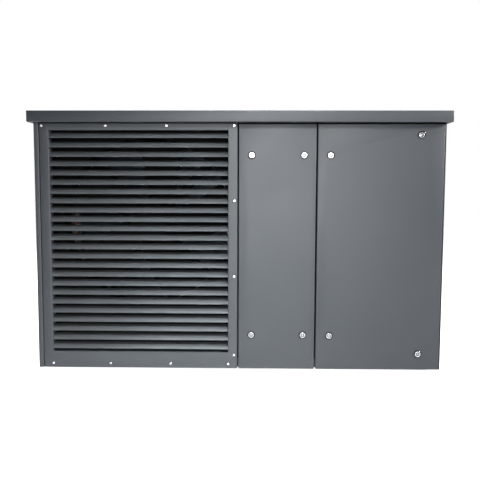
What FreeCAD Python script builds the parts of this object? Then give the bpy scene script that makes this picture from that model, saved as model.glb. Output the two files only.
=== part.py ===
import FreeCAD, Part

import math
import os

# Air-to-water heat pump for outdoor use, in millimetres.
# X runs across the front, Y from the front to the back, Z up from the floor.
# The origin lies on the floor under the middle of the roof.

V = FreeCAD.Vector
X_AXIS = V(1, 0, 0)
Y_AXIS = V(0, 1, 0)
Z_AXIS = V(0, 0, 1)

# Casing
body_width = 1320.0
body_depth = 520.0
body_height = 801.0
roof_height = 36.0
roof_overhang_side = 16.0
roof_overhang_front = 20.0
roof_hem = 12.0
insulation_inset = 4.0
sheet = 1.5
frame_sheet = 2.0
edge_break = 1.0
round_sides = 24
panel_depth = 18.0
seal_thickness = 1.7
seat_gap = 0.3
joint_gap = 4.0
panel_top_gap = 4.0

# Standing
pad_thickness = 6.0
pad_size = 60.0
pad_from_anchor = 52.0
foot_rail_height = 14.0
foot_rail_width = 60.0
foot_rail_sheet = 3.0
foot_rail_front_setback = 84.0
foot_rail_back_setback = 24.0
anchor_spacing_x = 1040.0
anchor_spacing_y = 348.0
anchor_inset = 32.0
anchor_hole_radius = 5.5

# Frame
rim_height = 32.0
top_rail_height = 21.0
top_rail_width = 33.0
post_width = 30.0
mullion_width = 44.0
mullion_offset = 2.0
mullion_tube_width = 20.0
mullion_tube_depth = 25.0
left_return = 16.0
right_hem = 3.0

# Front divisions, from the left edge of the casing
grille_gap_left = 2.0
grille_right_edge = 656.0
middle_panel_left = 660.0
middle_panel_width = 248.0
right_panel_left = 913.0
right_panel_gap = 1.0

# Louvre grille
grille_depth = 20.0
grille_flange_side = 30.0
grille_flange_top = 21.5
grille_flange_bottom = 53.5
grille_return_depth = 34.0
grille_top_gap = 2.0
blade_pitch = 30.0
blade_sheet = 1.2
blade_setback = 4.0
blade_knee = 10.0
blade_depth = 25.0
blade_rise = 17.0
first_blade_below_top = 24.5

# Service panels and their quarter-turn locks
panel_lip = 12.0
seal_width = 10.0
lock_upper_from_top = 103.0
lock_lower_level = 113.6
middle_lock_left_inset = 41.8
middle_lock_right_inset = 38.0
right_lock_upper_inset = 41.5
right_lock_lower_inset = 43.5
right_lock_lower_level = 111.6
corner_lock_upper_inset = 74.0
corner_lock_upper_from_top = 37.7
corner_lock_lower_inset = 69.0
corner_lock_lower_level = 52.6
lock_collar_radius = 10.6
lock_collar_height = 2.5
lock_collar_depth = 9.0
lock_shank_side = 15.0
lock_bore_radius = 6.0
lock_running_gap = 0.05
lock_face_setback = 2.8
lock_drive_side = 8.0
lock_drive_height = 2.2
lock_hole_clearance = 0.1
lock_spindle_side = 8.0
lock_cam_reach = 28.0
lock_cam_width = 12.0
lock_cam_thickness = 3.0
lock_cam_clearance = 0.3

# Fan
fan_from_left = 352.0
fan_below_roof = 324.0
fan_radius = 280.0
fan_tip_gap = 7.0
fan_plate_setback = 100.0
throat_length = 76.0
throat_sides = 48
flare_depth = 14.0
flare_width = 12.0
fan_blade_count = 5
fan_blade_thickness = 3.0
blade_chord_steps = 4
blade_span_steps = 5
hub_radius = 66.0
hub_chord = 108.0
hub_pitch = 38.0
hub_lead = 8.0
hub_bury = 2.0
blade_camber = 12.0
middle_chord = 146.0
middle_pitch = 29.0
middle_lead = 12.0
tip_chord = 172.0
tip_pitch = 20.0
tip_lead = 62.0
rotor_radius = 61.9
rotor_fit_gap = 0.05
hub_sides = 32
rotor_length = 82.0
rotor_wall = 5.9
rotor_cap = 8.0
rotor_front_setback = 12.0
shaft_radius = 7.5
shaft_running_gap = 0.05
shaft_length = 76.0
stator_air_gap = 1.0
stator_front_gap = 6.0
stator_length = 72.0
stator_flange_radius = 70.0
stator_flange_thickness = 8.0
spider_radius = 330.0
spider_foot = 20.0
spider_thickness = 4.0
spider_arm_width = 30.0
spider_disc_radius = 76.0

# Evaporator
coil_from_left = 48.0
coil_from_partition = 50.0
coil_front = 92.0
coil_depth = 90.0
coil_above_floor = 26.0
coil_below_roof = 31.0
fin_groove_pitch = 46.0
fin_groove_width = 22.0
fin_groove_depth = 2.5
tray_height = 24.0
tray_margin = 9.0
end_plate_lap = 3.0
tray_end_margin = 22.0
header_radius = 9.0
header_low = 150.0
header_below_roof = 101.0
header_feed_radius = 3.5
header_feed_count = 6
gas_header_setback = 73.0
liquid_header_setback = 17.0
header_from_partition = 29.0

# Rear side
guard_border = 32.0
guard_bar_lap = 3.0
guard_bar = 3.0
guard_bar_pitch = 25.0
guard_bar_rows = 8
rear_panel_top_gap = 4.0
drain_radius = 12.5
drain_wall = 2.0
drain_neck_radius = 12.0
drain_above_floor = 13.0
drain_reach = 16.0
connection_radius = 20.95
connection_shank_radius = 19.5
connection_bore = 13.0
connection_length = 18.0
gland_across_flats = 24.0
gland_bore = 6.5
gland_reach = 15.0
gland_count = 2
gland_pitch = 60.0
gland_from_right = 230.0
gland_above_base = 640.0
pass_gap = 1.0

# Refrigerant circuit
compressor_from_right = 108.0
compressor_y = 45.0
compressor_radius = 82.0
compressor_height = 370.0
compressor_shoulder_height = 30.0
compressor_shoulder_width = 34.0
compressor_foot_radius = 88.0
compressor_plate = 4.0
grommet_radius = 17.0
grommet_sides = 8
grommet_height = 24.0
gas_pipe_radius = 8.0
liquid_pipe_radius = 5.0
water_pipe_radius = 16.0
pipe_bend_radius = 26.0
pipe_sides = 12
pipe_bend_steps = 2
gas_pipe_below_valve = 70.0
discharge_rise = 80.0
valve_share = 0.645
valve_y = 145.0
valve_below_roof = 171.0
valve_radius = 19.0
valve_length = 96.0
pilot_size = 22.0
accumulator_radius = 42.0
accumulator_height = 240.0
accumulator_level = 130.0
accumulator_end = 14.0
suction_entry_level = 76.0
exchanger_from_partition = 36.0
exchanger_depth = 94.0
exchanger_width = 110.0
exchanger_height = 300.0
exchanger_level = 170.0
exchanger_port_inset = 25.0
exchanger_corner = 20.0
exchanger_cover = 6.0
exchanger_step = 2.0
liquid_drop_from_exchanger = 40.0
expansion_from_partition = 80.0
expansion_level = 64.0
expansion_length = 40.0
expansion_across_flats = 22.0
expansion_drive_radius = 16.0
expansion_drive_height = 44.0
pump_share = 0.41
pump_housing_radius = 44.0
pump_housing_depth = 44.0
pump_motor_radius = 36.0
pump_motor_length = 60.0
pump_box_depth = 22.0
pump_box_rise = 10.0
return_share = 0.53
flow_from_exchanger = 60.0
bracket_sheet = 3.0
bracket_width = 30.0
bracket_foot = 32.0

# Electrical compartment
box_inset = 40.0
box_depth = 112.0
box_foot = 60.0
box_head = 60.0
inverter_width = 150.0
inverter_height = 210.0
inverter_depth = 62.0
inverter_above_base = 430.0
heat_sink_fin_count = 12
heat_sink_fin = 2.0
heat_sink_depth = 26.0
board_width = 170.0
board_height = 120.0
board_sheet = 2.0
board_standoff = 8.0
board_margin = 12.0
board_above_base = 268.0
relay_count = 4
relay_pitch = 20.0
relay_width = 15.0
relay_height = 28.0
relay_depth = 16.0
transformer_size = 46.0
terminal_count = 14
terminal_width = 11.0
terminal_gap = 0.6
terminal_height = 46.0
terminal_depth = 40.0
terminal_rail_height = 35.0
terminal_rail_depth = 7.0
terminal_above_base = 170.0

# Planes and edges that follow from the sizes above
x_left = -body_width / 2
x_right = body_width / 2
y_front = -body_depth / 2
y_back = body_depth / 2
z_base = pad_thickness + foot_rail_height
z_roof = z_base + body_height
z_floor = z_base + frame_sheet
z_rim = z_base + rim_height
y_frame = y_front + panel_depth + seal_thickness + seat_gap
y_frame_back = y_back - panel_depth
x_frame = x_right - sheet
z_rail = z_roof - top_rail_height
grille_left = x_left + left_return + grille_gap_left
grille_right = x_left + grille_right_edge
middle_left = x_left + middle_panel_left
middle_right = middle_left + middle_panel_width
right_left = x_left + right_panel_left
right_right = x_right - right_hem - right_panel_gap
panel_height = body_height - panel_top_gap
anchor_middle_y = y_front + foot_rail_front_setback + anchor_inset + anchor_spacing_y / 2
mullion_left_x = (grille_right + middle_left) / 2 + mullion_offset
mullion_right_x = (middle_right + right_left) / 2
fan_x = x_left + fan_from_left
fan_z = z_roof - fan_below_roof
fan_plate_y = y_front + fan_plate_setback
partition_x = middle_left
coil_left = x_left + coil_from_left
coil_right = partition_x - coil_from_partition
coil_width = coil_right - coil_left
mullion_back_y = y_frame + frame_sheet + mullion_tube_depth
rear_mullion_front_y = y_frame_back - frame_sheet - mullion_tube_depth
bay_width = x_right - partition_x
gas_header_y = coil_front + gas_header_setback
liquid_header_y = coil_front + liquid_header_setback
header_x = partition_x - header_from_partition
compressor_x = x_right - compressor_from_right
valve_x = partition_x + valve_share * bay_width
pump_x = partition_x + pump_share * bay_width
return_connection_x = partition_x + return_share * bay_width
expansion_x = partition_x + expansion_from_partition
exchanger_left = partition_x + exchanger_from_partition
exchanger_right = exchanger_left + exchanger_depth
liquid_drop_x = exchanger_right + liquid_drop_from_exchanger
flow_connection_x = exchanger_right + flow_from_exchanger
gland_x = x_right - gland_from_right
exchanger_base = z_base + exchanger_level
accumulator_base = z_base + accumulator_level
suction_entry_z = z_base + suction_entry_level
valve_z = z_roof - valve_below_roof
gas_pipe_z = valve_z - gas_pipe_below_valve
header_top_z = z_roof - header_below_roof
grille_height = body_height - grille_top_gap
expansion_z = z_base + expansion_level
coil_foot = z_floor + coil_above_floor
coil_top = z_roof - coil_below_roof
drain_z = z_floor + drain_above_floor
box_back = mullion_back_y + box_depth
exchanger_front = liquid_header_y - exchanger_port_inset
port_low_z = exchanger_base + exchanger_port_inset
port_high_z = exchanger_base + exchanger_height - exchanger_port_inset
water_port_y = exchanger_front + exchanger_width - exchanger_port_inset

# Each lock: its panel, place, rest direction of the tongue as degrees about Y from up
middle_lock_left = middle_left + middle_lock_left_inset
middle_lock_right = middle_right - middle_lock_right_inset
lock_upper_z = z_roof - lock_upper_from_top
lock_lower_z = z_base + lock_lower_level
right_lock_upper = right_left + right_lock_upper_inset
right_lock_lower = right_left + right_lock_lower_inset
right_lock_lower_z = z_base + right_lock_lower_level
corner_lock_upper = right_right - corner_lock_upper_inset
corner_lock_upper_z = z_roof - corner_lock_upper_from_top
corner_lock_lower = right_right - corner_lock_lower_inset
corner_lock_lower_z = z_base + corner_lock_lower_level
locks = {
    "lock_cam_middle_upper_left": ("middle", middle_lock_left, lock_upper_z, 180.0),
    "lock_cam_middle_upper_right": ("middle", middle_lock_right, lock_upper_z, 0.0),
    "lock_cam_middle_lower_left": ("middle", middle_lock_left, lock_lower_z, 180.0),
    "lock_cam_middle_lower_right": ("middle", middle_lock_right, lock_lower_z, 0.0),
    "lock_cam_right_upper_left": ("right", right_lock_upper, lock_upper_z, 180.0),
    "lock_cam_right_upper_right": ("right", corner_lock_upper, corner_lock_upper_z, 270.0),
    "lock_cam_right_lower_left": ("right", right_lock_lower, right_lock_lower_z, 180.0),
    "lock_cam_right_lower_right": ("right", corner_lock_lower, corner_lock_lower_z, 90.0),
}


def box(x0, x1, y0, y1, z0, z1):
    corner = V(min(x0, x1), min(y0, y1), min(z0, z1))
    return Part.makeBox(abs(x1 - x0), abs(y1 - y0), abs(z1 - z0), corner)


def rod(radius, start, axis, length):
    return Part.makeCylinder(radius, length, start, axis)


def loop(radius, centre, axis, sides):
    """Corner points round an axis; the radius is that of the flats between them."""
    side = axis.cross(Z_AXIS) if abs(axis.z) < 0.5 else X_AXIS
    up = axis.cross(side)
    corner = radius / math.cos(math.pi / sides)
    points = []
    for i in range(sides):
        turn = 2 * math.pi * (i + 0.5) / sides
        points.append(centre + side * (corner * math.cos(turn)) + up * (corner * math.sin(turn)))
    return points


def closed(faces):
    """A solid from flat faces, each given by its corner points."""
    shell = Part.makeShell([Part.Face(Part.makePolygon(points + points[:1])) for points in faces])
    shell.sewShape()
    solid = Part.makeSolid(shell)
    if solid.Volume < 0:
        solid.reverse()
    return solid


def skin(loops):
    """A solid closed by flat strips from loop to loop and by a cap at each end."""
    faces = [loops[0], loops[-1]]
    for here, beyond in zip(loops, loops[1:]):
        for i in range(len(here)):
            j = (i + 1) % len(here)
            faces.append([here[i], here[j], beyond[j], beyond[i]])
    return closed(faces)


def drum(radius, start, axis, length, sides=round_sides):
    """A round body drawn with equal flat sides."""
    return prism(loop(radius, start, axis, sides), axis * length)


def frustum(radius, end_radius, start, axis, length, sides=round_sides):
    """A drum that widens or narrows evenly from its start to its end."""
    return skin([loop(radius, start, axis, sides), loop(end_radius, start + axis * length, axis, sides)])


def prism(points, direction):
    return Part.Face(Part.makePolygon(points + points[:1])).extrude(direction)


def folded(points, thickness, direction):
    """A bent sheet: the line of one face, thickened to its side and drawn along direction."""
    face = Part.makePolygon(points).makeOffset2D(thickness, 2, True, True, False)
    return face.extrude(direction)


def soften(shape, radius, chosen):
    edges = [e for e in shape.Edges if chosen(e)]
    return shape.makeChamfer(radius, edges) if edges else shape


def ring(radius, centre, along, side):
    """Corner points of a pipe's section, square to its run."""
    up = along.cross(side)
    points = []
    for i in range(pipe_sides):
        turn = 2 * math.pi * (i + 0.5) / pipe_sides
        points.append(centre + side * (radius * math.cos(turn)) + up * (radius * math.sin(turn)))
    return points


def pipe(points, radius):
    """A pipe in one plane: straight runs joined by bends that turn in short steps."""
    first = (points[1] - points[0]).normalize()
    side = first.cross(points[2] - points[1]).normalize()
    loops = [ring(radius, points[0], first, side)]
    for before, corner, after in zip(points, points[1:], points[2:]):
        into = (corner - before).normalize()
        out = (after - corner).normalize()
        axis = into.cross(out).normalize()
        turn = into.getAngle(out)
        start = corner - into * (pipe_bend_radius * math.tan(turn / 2))
        centre = start + axis.cross(into) * pipe_bend_radius
        for i in range(pipe_bend_steps + 1):
            step = FreeCAD.Rotation(axis, math.degrees(turn) * i / pipe_bend_steps)
            loops.append(ring(radius, centre + step.multVec(start - centre), step.multVec(into), side))
    last = (points[-1] - points[-2]).normalize()
    loops.append(ring(radius, points[-1], last, side))
    return skin(loops)


def front_edge(edge):
    """True for the long edges of a front face at the casing's front plane."""
    low = edge.BoundBox.YMin
    high = edge.BoundBox.YMax
    return abs(low - y_front) < 0.01 and abs(high - y_front) < 0.01


def anchor_places():
    sides = (-anchor_spacing_x / 2, anchor_spacing_x / 2)
    ends = (anchor_middle_y - anchor_spacing_y / 2, anchor_middle_y + anchor_spacing_y / 2)
    return [(x, y) for x in sides for y in ends]


# Base and frame

def foot_pads():
    """Rubber pads under the rails, inboard of the anchor holes."""
    half = pad_size / 2
    pads = []
    for x, y in anchor_places():
        inward = pad_from_anchor if y < anchor_middle_y else -pad_from_anchor
        pads.append(box(x - half, x + half, y + inward - half, y + inward + half, 0, pad_thickness))
    return Part.makeCompound(pads)


def foot_rails():
    """Two flat box sections, open at their ends, that carry the base pan on the pads."""
    half = foot_rail_width / 2
    inner = half - foot_rail_sheet
    y0 = y_front + foot_rail_front_setback
    y1 = y_back - foot_rail_back_setback
    t = foot_rail_sheet
    rails = []
    for x in (-anchor_spacing_x / 2, anchor_spacing_x / 2):
        rail = box(x - half, x + half, y0, y1, pad_thickness, z_base)
        rails.append(rail.cut(box(x - inner, x + inner, y0, y1, pad_thickness + t, z_base - t)))
    both = Part.makeCompound(rails)
    for x, y in anchor_places():
        both = both.cut(rod(anchor_hole_radius, V(x, y, pad_thickness), Z_AXIS, t))
    return both


def base_pan():
    """Floor sheet with rim strips welded on it, left open at the back for the drain spout."""
    t = frame_sheet
    half = drain_radius + pass_gap
    y0 = y_frame + t
    y1 = y_frame_back - t
    return Part.makeCompound([
        box(-x_frame, x_frame, y_frame, y_frame_back, z_base, z_floor),
        box(-x_frame, x_frame, y_frame, y0, z_floor, z_rim),
        box(-x_frame, -x_frame + t, y0, y1, z_floor, z_rim),
        box(x_frame - t, x_frame, y0, y1, z_floor, z_rim),
        box(-x_frame, fan_x - half, y1, y_frame_back, z_floor, z_rim),
        box(fan_x + half, x_frame, y1, y_frame_back, z_floor, z_rim),
    ])


def corner_posts():
    """Four angles of two welded strips that stand between the base rim and the top frame."""
    t = frame_sheet
    w = post_width
    posts = []
    for edge_x, inward_x in ((-x_frame, 1), (x_frame, -1)):
        for edge_y, inward_y in ((y_frame, 1), (y_frame_back, -1)):
            inner_y = edge_y + inward_y * t
            posts.append(box(edge_x, edge_x + inward_x * w, edge_y, inner_y, z_rim, z_rail))
            posts.append(box(edge_x, edge_x + inward_x * t, inner_y, edge_y + inward_y * w, z_rim, z_rail))
    return Part.makeCompound(posts)


def top_frame():
    """A ring of welded strips round the top: a shelf inwards and a lip down below it."""
    t = frame_sheet
    w = top_rail_width
    z_lip = z_roof - t
    x0 = -x_frame
    x1 = x_frame
    y0 = y_frame
    y1 = y_frame_back
    return Part.makeCompound([
        box(x0, x1, y0, y0 + w, z_lip, z_roof),
        box(x0, x1, y1 - w, y1, z_lip, z_roof),
        box(x0, x0 + w, y0 + w, y1 - w, z_lip, z_roof),
        box(x1 - w, x1, y0 + w, y1 - w, z_lip, z_roof),
        box(x0, x1, y0, y0 + t, z_rail, z_lip),
        box(x0, x1, y1 - t, y1, z_rail, z_lip),
        box(x0, x0 + t, y0 + t, y1 - t, z_rail, z_lip),
        box(x1 - t, x1, y0 + t, y1 - t, z_rail, z_lip),
    ])


def mullion(x, plane, inward):
    """A flat strip on a square tube; the tongues of the locks turn behind the strip."""
    half = mullion_width / 2
    w = mullion_tube_width / 2
    t = frame_sheet
    back = plane + inward * t
    end = back + inward * mullion_tube_depth
    strip = box(x - half, x + half, plane, back, z_rim, z_rail)
    tube_outside = box(x - w, x + w, back, end, z_rim, z_rail)
    tube_inside = box(x - w + t, x + w - t, back + inward * t, end - inward * t, z_rim, z_rail)
    return Part.makeCompound([strip, tube_outside.cut(tube_inside)])


# Panels and roof

def side_panel_left():
    """One sheet with returns at the front and the back and a stiffening fold behind each."""
    x0 = x_left
    x1 = x_left + left_return
    fold = y_front + panel_depth
    fold_back = y_back - panel_depth
    line = [V(x1, fold, 0), V(x1, y_front, 0), V(x0, y_front, 0)]
    line += [V(x0, y_back, 0), V(x1, y_back, 0), V(x1, fold_back, 0)]
    inner = [V(x1 - sheet, fold_back, 0), V(x1 - sheet, y_back - sheet, 0)]
    inner += [V(x0 + sheet, y_back - sheet, 0), V(x0 + sheet, y_front + sheet, 0)]
    inner += [V(x1 - sheet, y_front + sheet, 0), V(x1 - sheet, fold, 0)]
    height = body_height + 2 * panel_top_gap
    panel = prism(line + inner, V(0, 0, height))
    panel.translate(V(0, 0, z_base))
    return soften(panel, edge_break, lambda e: upright_at(e, (x0, x1), (y_front, y_back)))


def upright_at(edge, xs, ys):
    """True for a vertical edge that stands at one of the given corners."""
    b = edge.BoundBox
    if b.ZLength < body_height / 2 or b.XLength > 0.01 or b.YLength > 0.01:
        return False
    near_x = any(abs(b.XMin - x) < 0.01 for x in xs)
    return near_x and any(abs(b.YMin - y) < 0.01 for y in ys)


def side_panel_right():
    """One sheet with a closed hem at the front, a return at the back."""
    x0 = x_right
    x1 = x_right - left_return
    hem = x_right - right_hem
    fold = y_front + panel_depth
    fold_back = y_back - panel_depth
    line = [V(hem, fold, 0), V(hem, y_front, 0), V(x0, y_front, 0)]
    line += [V(x0, y_back, 0), V(x1, y_back, 0), V(x1, fold_back, 0)]
    inner = [V(x1 + sheet, fold_back, 0), V(x1 + sheet, y_back - sheet, 0)]
    inner += [V(x0 - sheet, y_back - sheet, 0), V(x0 - sheet, fold, 0)]
    height = body_height + 2 * panel_top_gap
    panel = prism(line + inner, V(0, 0, height))
    panel.translate(V(0, 0, z_base))
    return soften(panel, edge_break, lambda e: upright_at(e, (x0, hem, x1), (y_front, y_back)))


def roof_cap():
    """A folded lid: flat top, skirts all round and a hem turned inwards at the foot."""
    rx = body_width / 2 + roof_overhang_side
    ry = body_depth / 2 + roof_overhang_front
    top = z_roof + roof_height
    cap = box(-rx, rx, -ry, ry, z_roof, top)
    cap = soften(cap, edge_break, lambda e: e.BoundBox.ZMax > z_roof + 1)
    t = sheet
    cap = cap.cut(box(-rx + t, rx - t, -ry + t, ry - t, z_roof + t, top - t))
    h = t + roof_hem
    return cap.cut(box(-rx + h, rx - h, -ry + h, ry - h, z_roof, z_roof + t))


def roof_insulation():
    i = insulation_inset
    x = x_frame - i
    return box(-x, x, y_frame + i, y_frame_back - i, z_roof, z_roof + roof_height - sheet)


def service_panel(name, x0, x1):
    """A cassette: flat skin, folded edges and an inner lip that carries the seal."""
    z1 = z_base + panel_height
    back = y_front + panel_depth
    t = sheet
    panel = box(x0, x1, y_front, back, z_base, z1)
    panel = soften(panel, edge_break, front_edge)
    panel = panel.cut(box(x0 + t, x1 - t, y_front + t, back - t, z_base + t, z1 - t))
    lip = t + panel_lip
    panel = panel.cut(box(x0 + lip, x1 - lip, back - t, back, z_base + lip, z1 - lip))
    half = lock_shank_side / 2 + lock_hole_clearance
    for panel_name, x, z, turn in locks.values():
        if panel_name == name:
            panel = panel.cut(box(x - half, x + half, y_front, y_front + t, z - half, z + half))
    return panel


def panel_seal(x0, x1):
    """A frame of soft foam glued to the lip; it meets the frame when the panel is on."""
    back = y_front + panel_depth
    z1 = z_base + panel_height
    inset = (panel_lip + sheet - seal_width) / 2
    outer = box(x0 + inset, x1 - inset, back, back + seal_thickness, z_base + inset, z1 - inset)
    deep = inset + seal_width
    return outer.cut(box(x0 + deep, x1 - deep, back, back + seal_thickness, z_base + deep, z1 - deep))


def lock_housings(name):
    """Round collars on the skin with square shanks through it, bored for the rotors."""
    half = lock_shank_side / 2
    pieces = []
    for panel_name, x, z, turn in locks.values():
        if panel_name != name:
            continue
        start = V(x, y_front - lock_collar_height, z)
        collar = drum(lock_collar_radius, start, Y_AXIS, lock_collar_height)
        shank = box(x - half, x + half, y_front, y_front + lock_collar_depth, z - half, z + half)
        bore = rod(lock_bore_radius, start, Y_AXIS, lock_collar_height + lock_collar_depth)
        pieces.append(collar.fuse(shank).cut(bore))
    return Part.makeCompound(pieces)


def lock_cam(x, z, turn):
    """Rotor with a triangular drive, square spindle and the tongue that grips the frame."""
    face_y = y_front - lock_collar_height + lock_face_setback
    rotor_end = y_front + lock_collar_depth
    rotor = rod(lock_bore_radius - lock_running_gap, V(x, face_y, z), Y_AXIS, rotor_end - face_y)
    corner = lock_drive_side / math.sqrt(3)
    points = []
    for i in range(3):
        a = math.radians(90 + 120 * i)
        points.append(V(x + corner * math.cos(a), face_y - lock_drive_height, z + corner * math.sin(a)))
    drive = prism(points, V(0, lock_drive_height, 0))
    tongue_y = y_frame + frame_sheet + lock_cam_clearance
    half = lock_spindle_side / 2
    spindle = box(x - half, x + half, rotor_end, tongue_y, z - half, z + half)
    w = lock_cam_width / 2
    tongue = box(x - w, x + w, tongue_y, tongue_y + lock_cam_thickness, z - w, z + lock_cam_reach)
    for piece in (spindle, tongue):
        piece.rotate(V(x, 0, z), Y_AXIS, turn)
    return Part.makeCompound([rotor.fuse(drive).fuse(spindle).removeSplitter(), tongue])


# Louvre grille

def grille_frame():
    """Pressed frame of the outlet grille: front flanges, folded edges and a deep window."""
    z1 = z_base + grille_height
    back = y_front + grille_depth
    t = sheet
    frame = box(grille_left, grille_right, y_front, back, z_base, z1)
    frame = soften(frame, edge_break, front_edge)
    frame = frame.cut(box(grille_left + t, grille_right - t, y_front + t, back, z_base + t, z1 - t))
    left, right, low, high = grille_window()
    deep = y_front + grille_return_depth
    frame = frame.fuse(box(left - t, right + t, y_front + t, deep, low - t, high + t))
    frame = frame.cut(box(left, right, y_front, deep, low, high))
    return frame.removeSplitter()


def grille_window():
    left = grille_left + grille_flange_side
    right = grille_right - grille_flange_side
    low = z_base + grille_flange_bottom
    high = z_base + grille_height - grille_flange_top
    return left, right, low, high


def louvre_blades():
    """Sloping blades, front edge low, steeper before the knee than behind it."""
    left, right, low, high = grille_window()
    blade_count = int((high - low) / blade_pitch)
    y0 = y_front + blade_setback
    blades = []
    for i in range(blade_count):
        z0 = high - first_blade_below_top - i * blade_pitch
        knee = V(left, y0 + blade_knee, z0 + blade_knee)
        line = [V(left, y0, z0), knee, V(left, y0 + blade_depth, z0 + blade_rise)]
        blades.append(folded(line, blade_sheet, V(right - left, 0, 0)))
    return Part.makeCompound(blades)


# Fan

def fan_plate():
    """Bulkhead with a throat round the fan that flares out on its intake side."""
    t = sheet
    x0 = -x_frame + frame_sheet
    x1 = partition_x - t
    plate = box(x0, x1, fan_plate_y, fan_plate_y + t, z_floor, z_roof - frame_sheet)
    inner = fan_radius + fan_tip_gap
    outer = inner + t
    start = V(fan_x, fan_plate_y, fan_z)
    mouth = start + Y_AXIS * throat_length
    plate = plate.fuse(drum(outer, start, Y_AXIS, throat_length, throat_sides))
    plate = plate.fuse(frustum(outer, outer + flare_width, mouth, Y_AXIS, flare_depth, throat_sides))
    plate = plate.cut(drum(inner, start, Y_AXIS, throat_length, throat_sides))
    return plate.cut(frustum(inner, inner + flare_width, mouth, Y_AXIS, flare_depth, throat_sides))


def between(share, hub, middle, tip):
    """A smooth run through three values as share goes from nought to one."""
    rest = 1 - share
    return hub * rest * (rest - share) + middle * 4 * share * rest + tip * share * (share - rest)


def blade_section(share):
    """Points round one blade section, bent to the radius at which it stands."""
    radius = (hub_radius - hub_bury) * (1 - share) + fan_radius * share
    chord = between(share, hub_chord, middle_chord, tip_chord)
    turn = math.radians(between(share, hub_pitch, middle_pitch, tip_pitch))
    lead = between(share, -hub_lead, middle_lead, tip_lead)
    upper = []
    lower = []
    for i in range(blade_chord_steps + 1):
        part = i / blade_chord_steps
        along = chord * (part - 0.5)
        lift = blade_camber * 4 * part * (1 - part)
        for line, rise in ((upper, lift), (lower, lift - fan_blade_thickness)):
            across = (along * math.cos(turn) - rise * math.sin(turn) + lead) / radius
            deep = along * math.sin(turn) + rise * math.cos(turn)
            line.append(V(radius * math.cos(across), deep, radius * math.sin(across)))
    return upper + lower[::-1]


def fan_blade():
    """One swept, twisted blade, closed from flat triangles between its sections."""
    sections = [blade_section(i / blade_span_steps) for i in range(blade_span_steps + 1)]
    count = len(sections[0])
    faces = []
    for here, beyond in zip(sections, sections[1:]):
        for i in range(count):
            j = (i + 1) % count
            faces.append([here[i], here[j], beyond[j]])
            faces.append([here[i], beyond[j], beyond[i]])
    for section in (sections[0], sections[-1]):
        for i in range(blade_chord_steps):
            j = count - 1 - i
            faces.append([section[i], section[i + 1], section[j - 1]])
            faces.append([section[i], section[j - 1], section[j]])
    return closed(faces)


def fan_impeller():
    """Blades moulded in one with the hub ring that sits on the motor."""
    start = V(0, -rotor_length / 2, 0)
    impeller = drum(hub_radius, start, Y_AXIS, rotor_length, hub_sides)
    impeller = impeller.cut(drum(rotor_radius + rotor_fit_gap, start, Y_AXIS, rotor_length, hub_sides))
    blade = fan_blade()
    for i in range(fan_blade_count):
        copy = blade.copy()
        copy.rotate(V(0, 0, 0), Y_AXIS, i * 360.0 / fan_blade_count)
        impeller = impeller.fuse(copy)
    impeller.translate(V(fan_x, fan_plate_y + rotor_front_setback + rotor_length / 2, fan_z))
    return impeller


def fan_rotor():
    """The motor's turning bell, closed in front, with its shaft inside."""
    start = V(fan_x, fan_plate_y + rotor_front_setback, fan_z)
    inside = start + Y_AXIS * rotor_cap
    bell = drum(rotor_radius, start, Y_AXIS, rotor_length, hub_sides)
    bell = bell.cut(drum(rotor_radius - rotor_wall, inside, Y_AXIS, rotor_length - rotor_cap, hub_sides))
    return bell.fuse(rod(shaft_radius, inside, Y_AXIS, shaft_length))


def stator_back():
    front = fan_plate_y + rotor_front_setback + rotor_cap + stator_front_gap
    return front + stator_length + stator_flange_thickness


def fan_stator():
    """The still half of the motor: wound core and mounting flange, bored for the shaft."""
    back = stator_back()
    flange = V(fan_x, back - stator_flange_thickness, fan_z)
    start = flange - Y_AXIS * stator_length
    stator = drum(rotor_radius - rotor_wall - stator_air_gap, start, Y_AXIS, stator_length, hub_sides)
    stator = stator.fuse(drum(stator_flange_radius, flange, Y_AXIS, stator_flange_thickness, hub_sides))
    return stator.cut(rod(shaft_radius + shaft_running_gap, start, Y_AXIS, back - start.y))


def fan_spider():
    """Four bent straps from the bulkhead to the disc that carries the motor."""
    y0 = stator_back()
    plate_back = fan_plate_y + sheet
    half = spider_arm_width / 2
    spider = drum(spider_disc_radius, V(fan_x, y0, fan_z), Y_AXIS, spider_thickness)
    t = spider_thickness
    r = spider_radius
    for i in range(4):
        arm = box(0, r, y0, y0 + t, -half, half)
        leg = box(r - t, r, plate_back, y0 + t, -half, half)
        foot = box(r - t, r + spider_foot, plate_back, plate_back + t, -half, half)
        strap = arm.fuse(leg).fuse(foot)
        strap.rotate(V(0, 0, 0), Y_AXIS, 45 + 90 * i)
        strap.translate(V(fan_x, 0, fan_z))
        spider = spider.fuse(strap)
    return spider.removeSplitter()


# Evaporator and rear side

def evaporator_coil():
    """Finned block, drawn with a coarse comb of grooves on its front and back."""
    y0 = coil_front
    y1 = coil_front + coil_depth
    block = box(coil_left, coil_right, y0, y1, coil_foot, coil_top)
    count = int(coil_width / fin_groove_pitch)
    start = coil_left + (coil_width - (count - 1) * fin_groove_pitch - fin_groove_width) / 2
    grooves = []
    for i in range(count):
        x = start + i * fin_groove_pitch
        for ya, yb in ((y0, y0 + fin_groove_depth), (y1 - fin_groove_depth, y1)):
            grooves.append(box(x, x + fin_groove_width, ya, yb, coil_foot, coil_top))
    return block.cut(Part.makeCompound(grooves))


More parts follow.
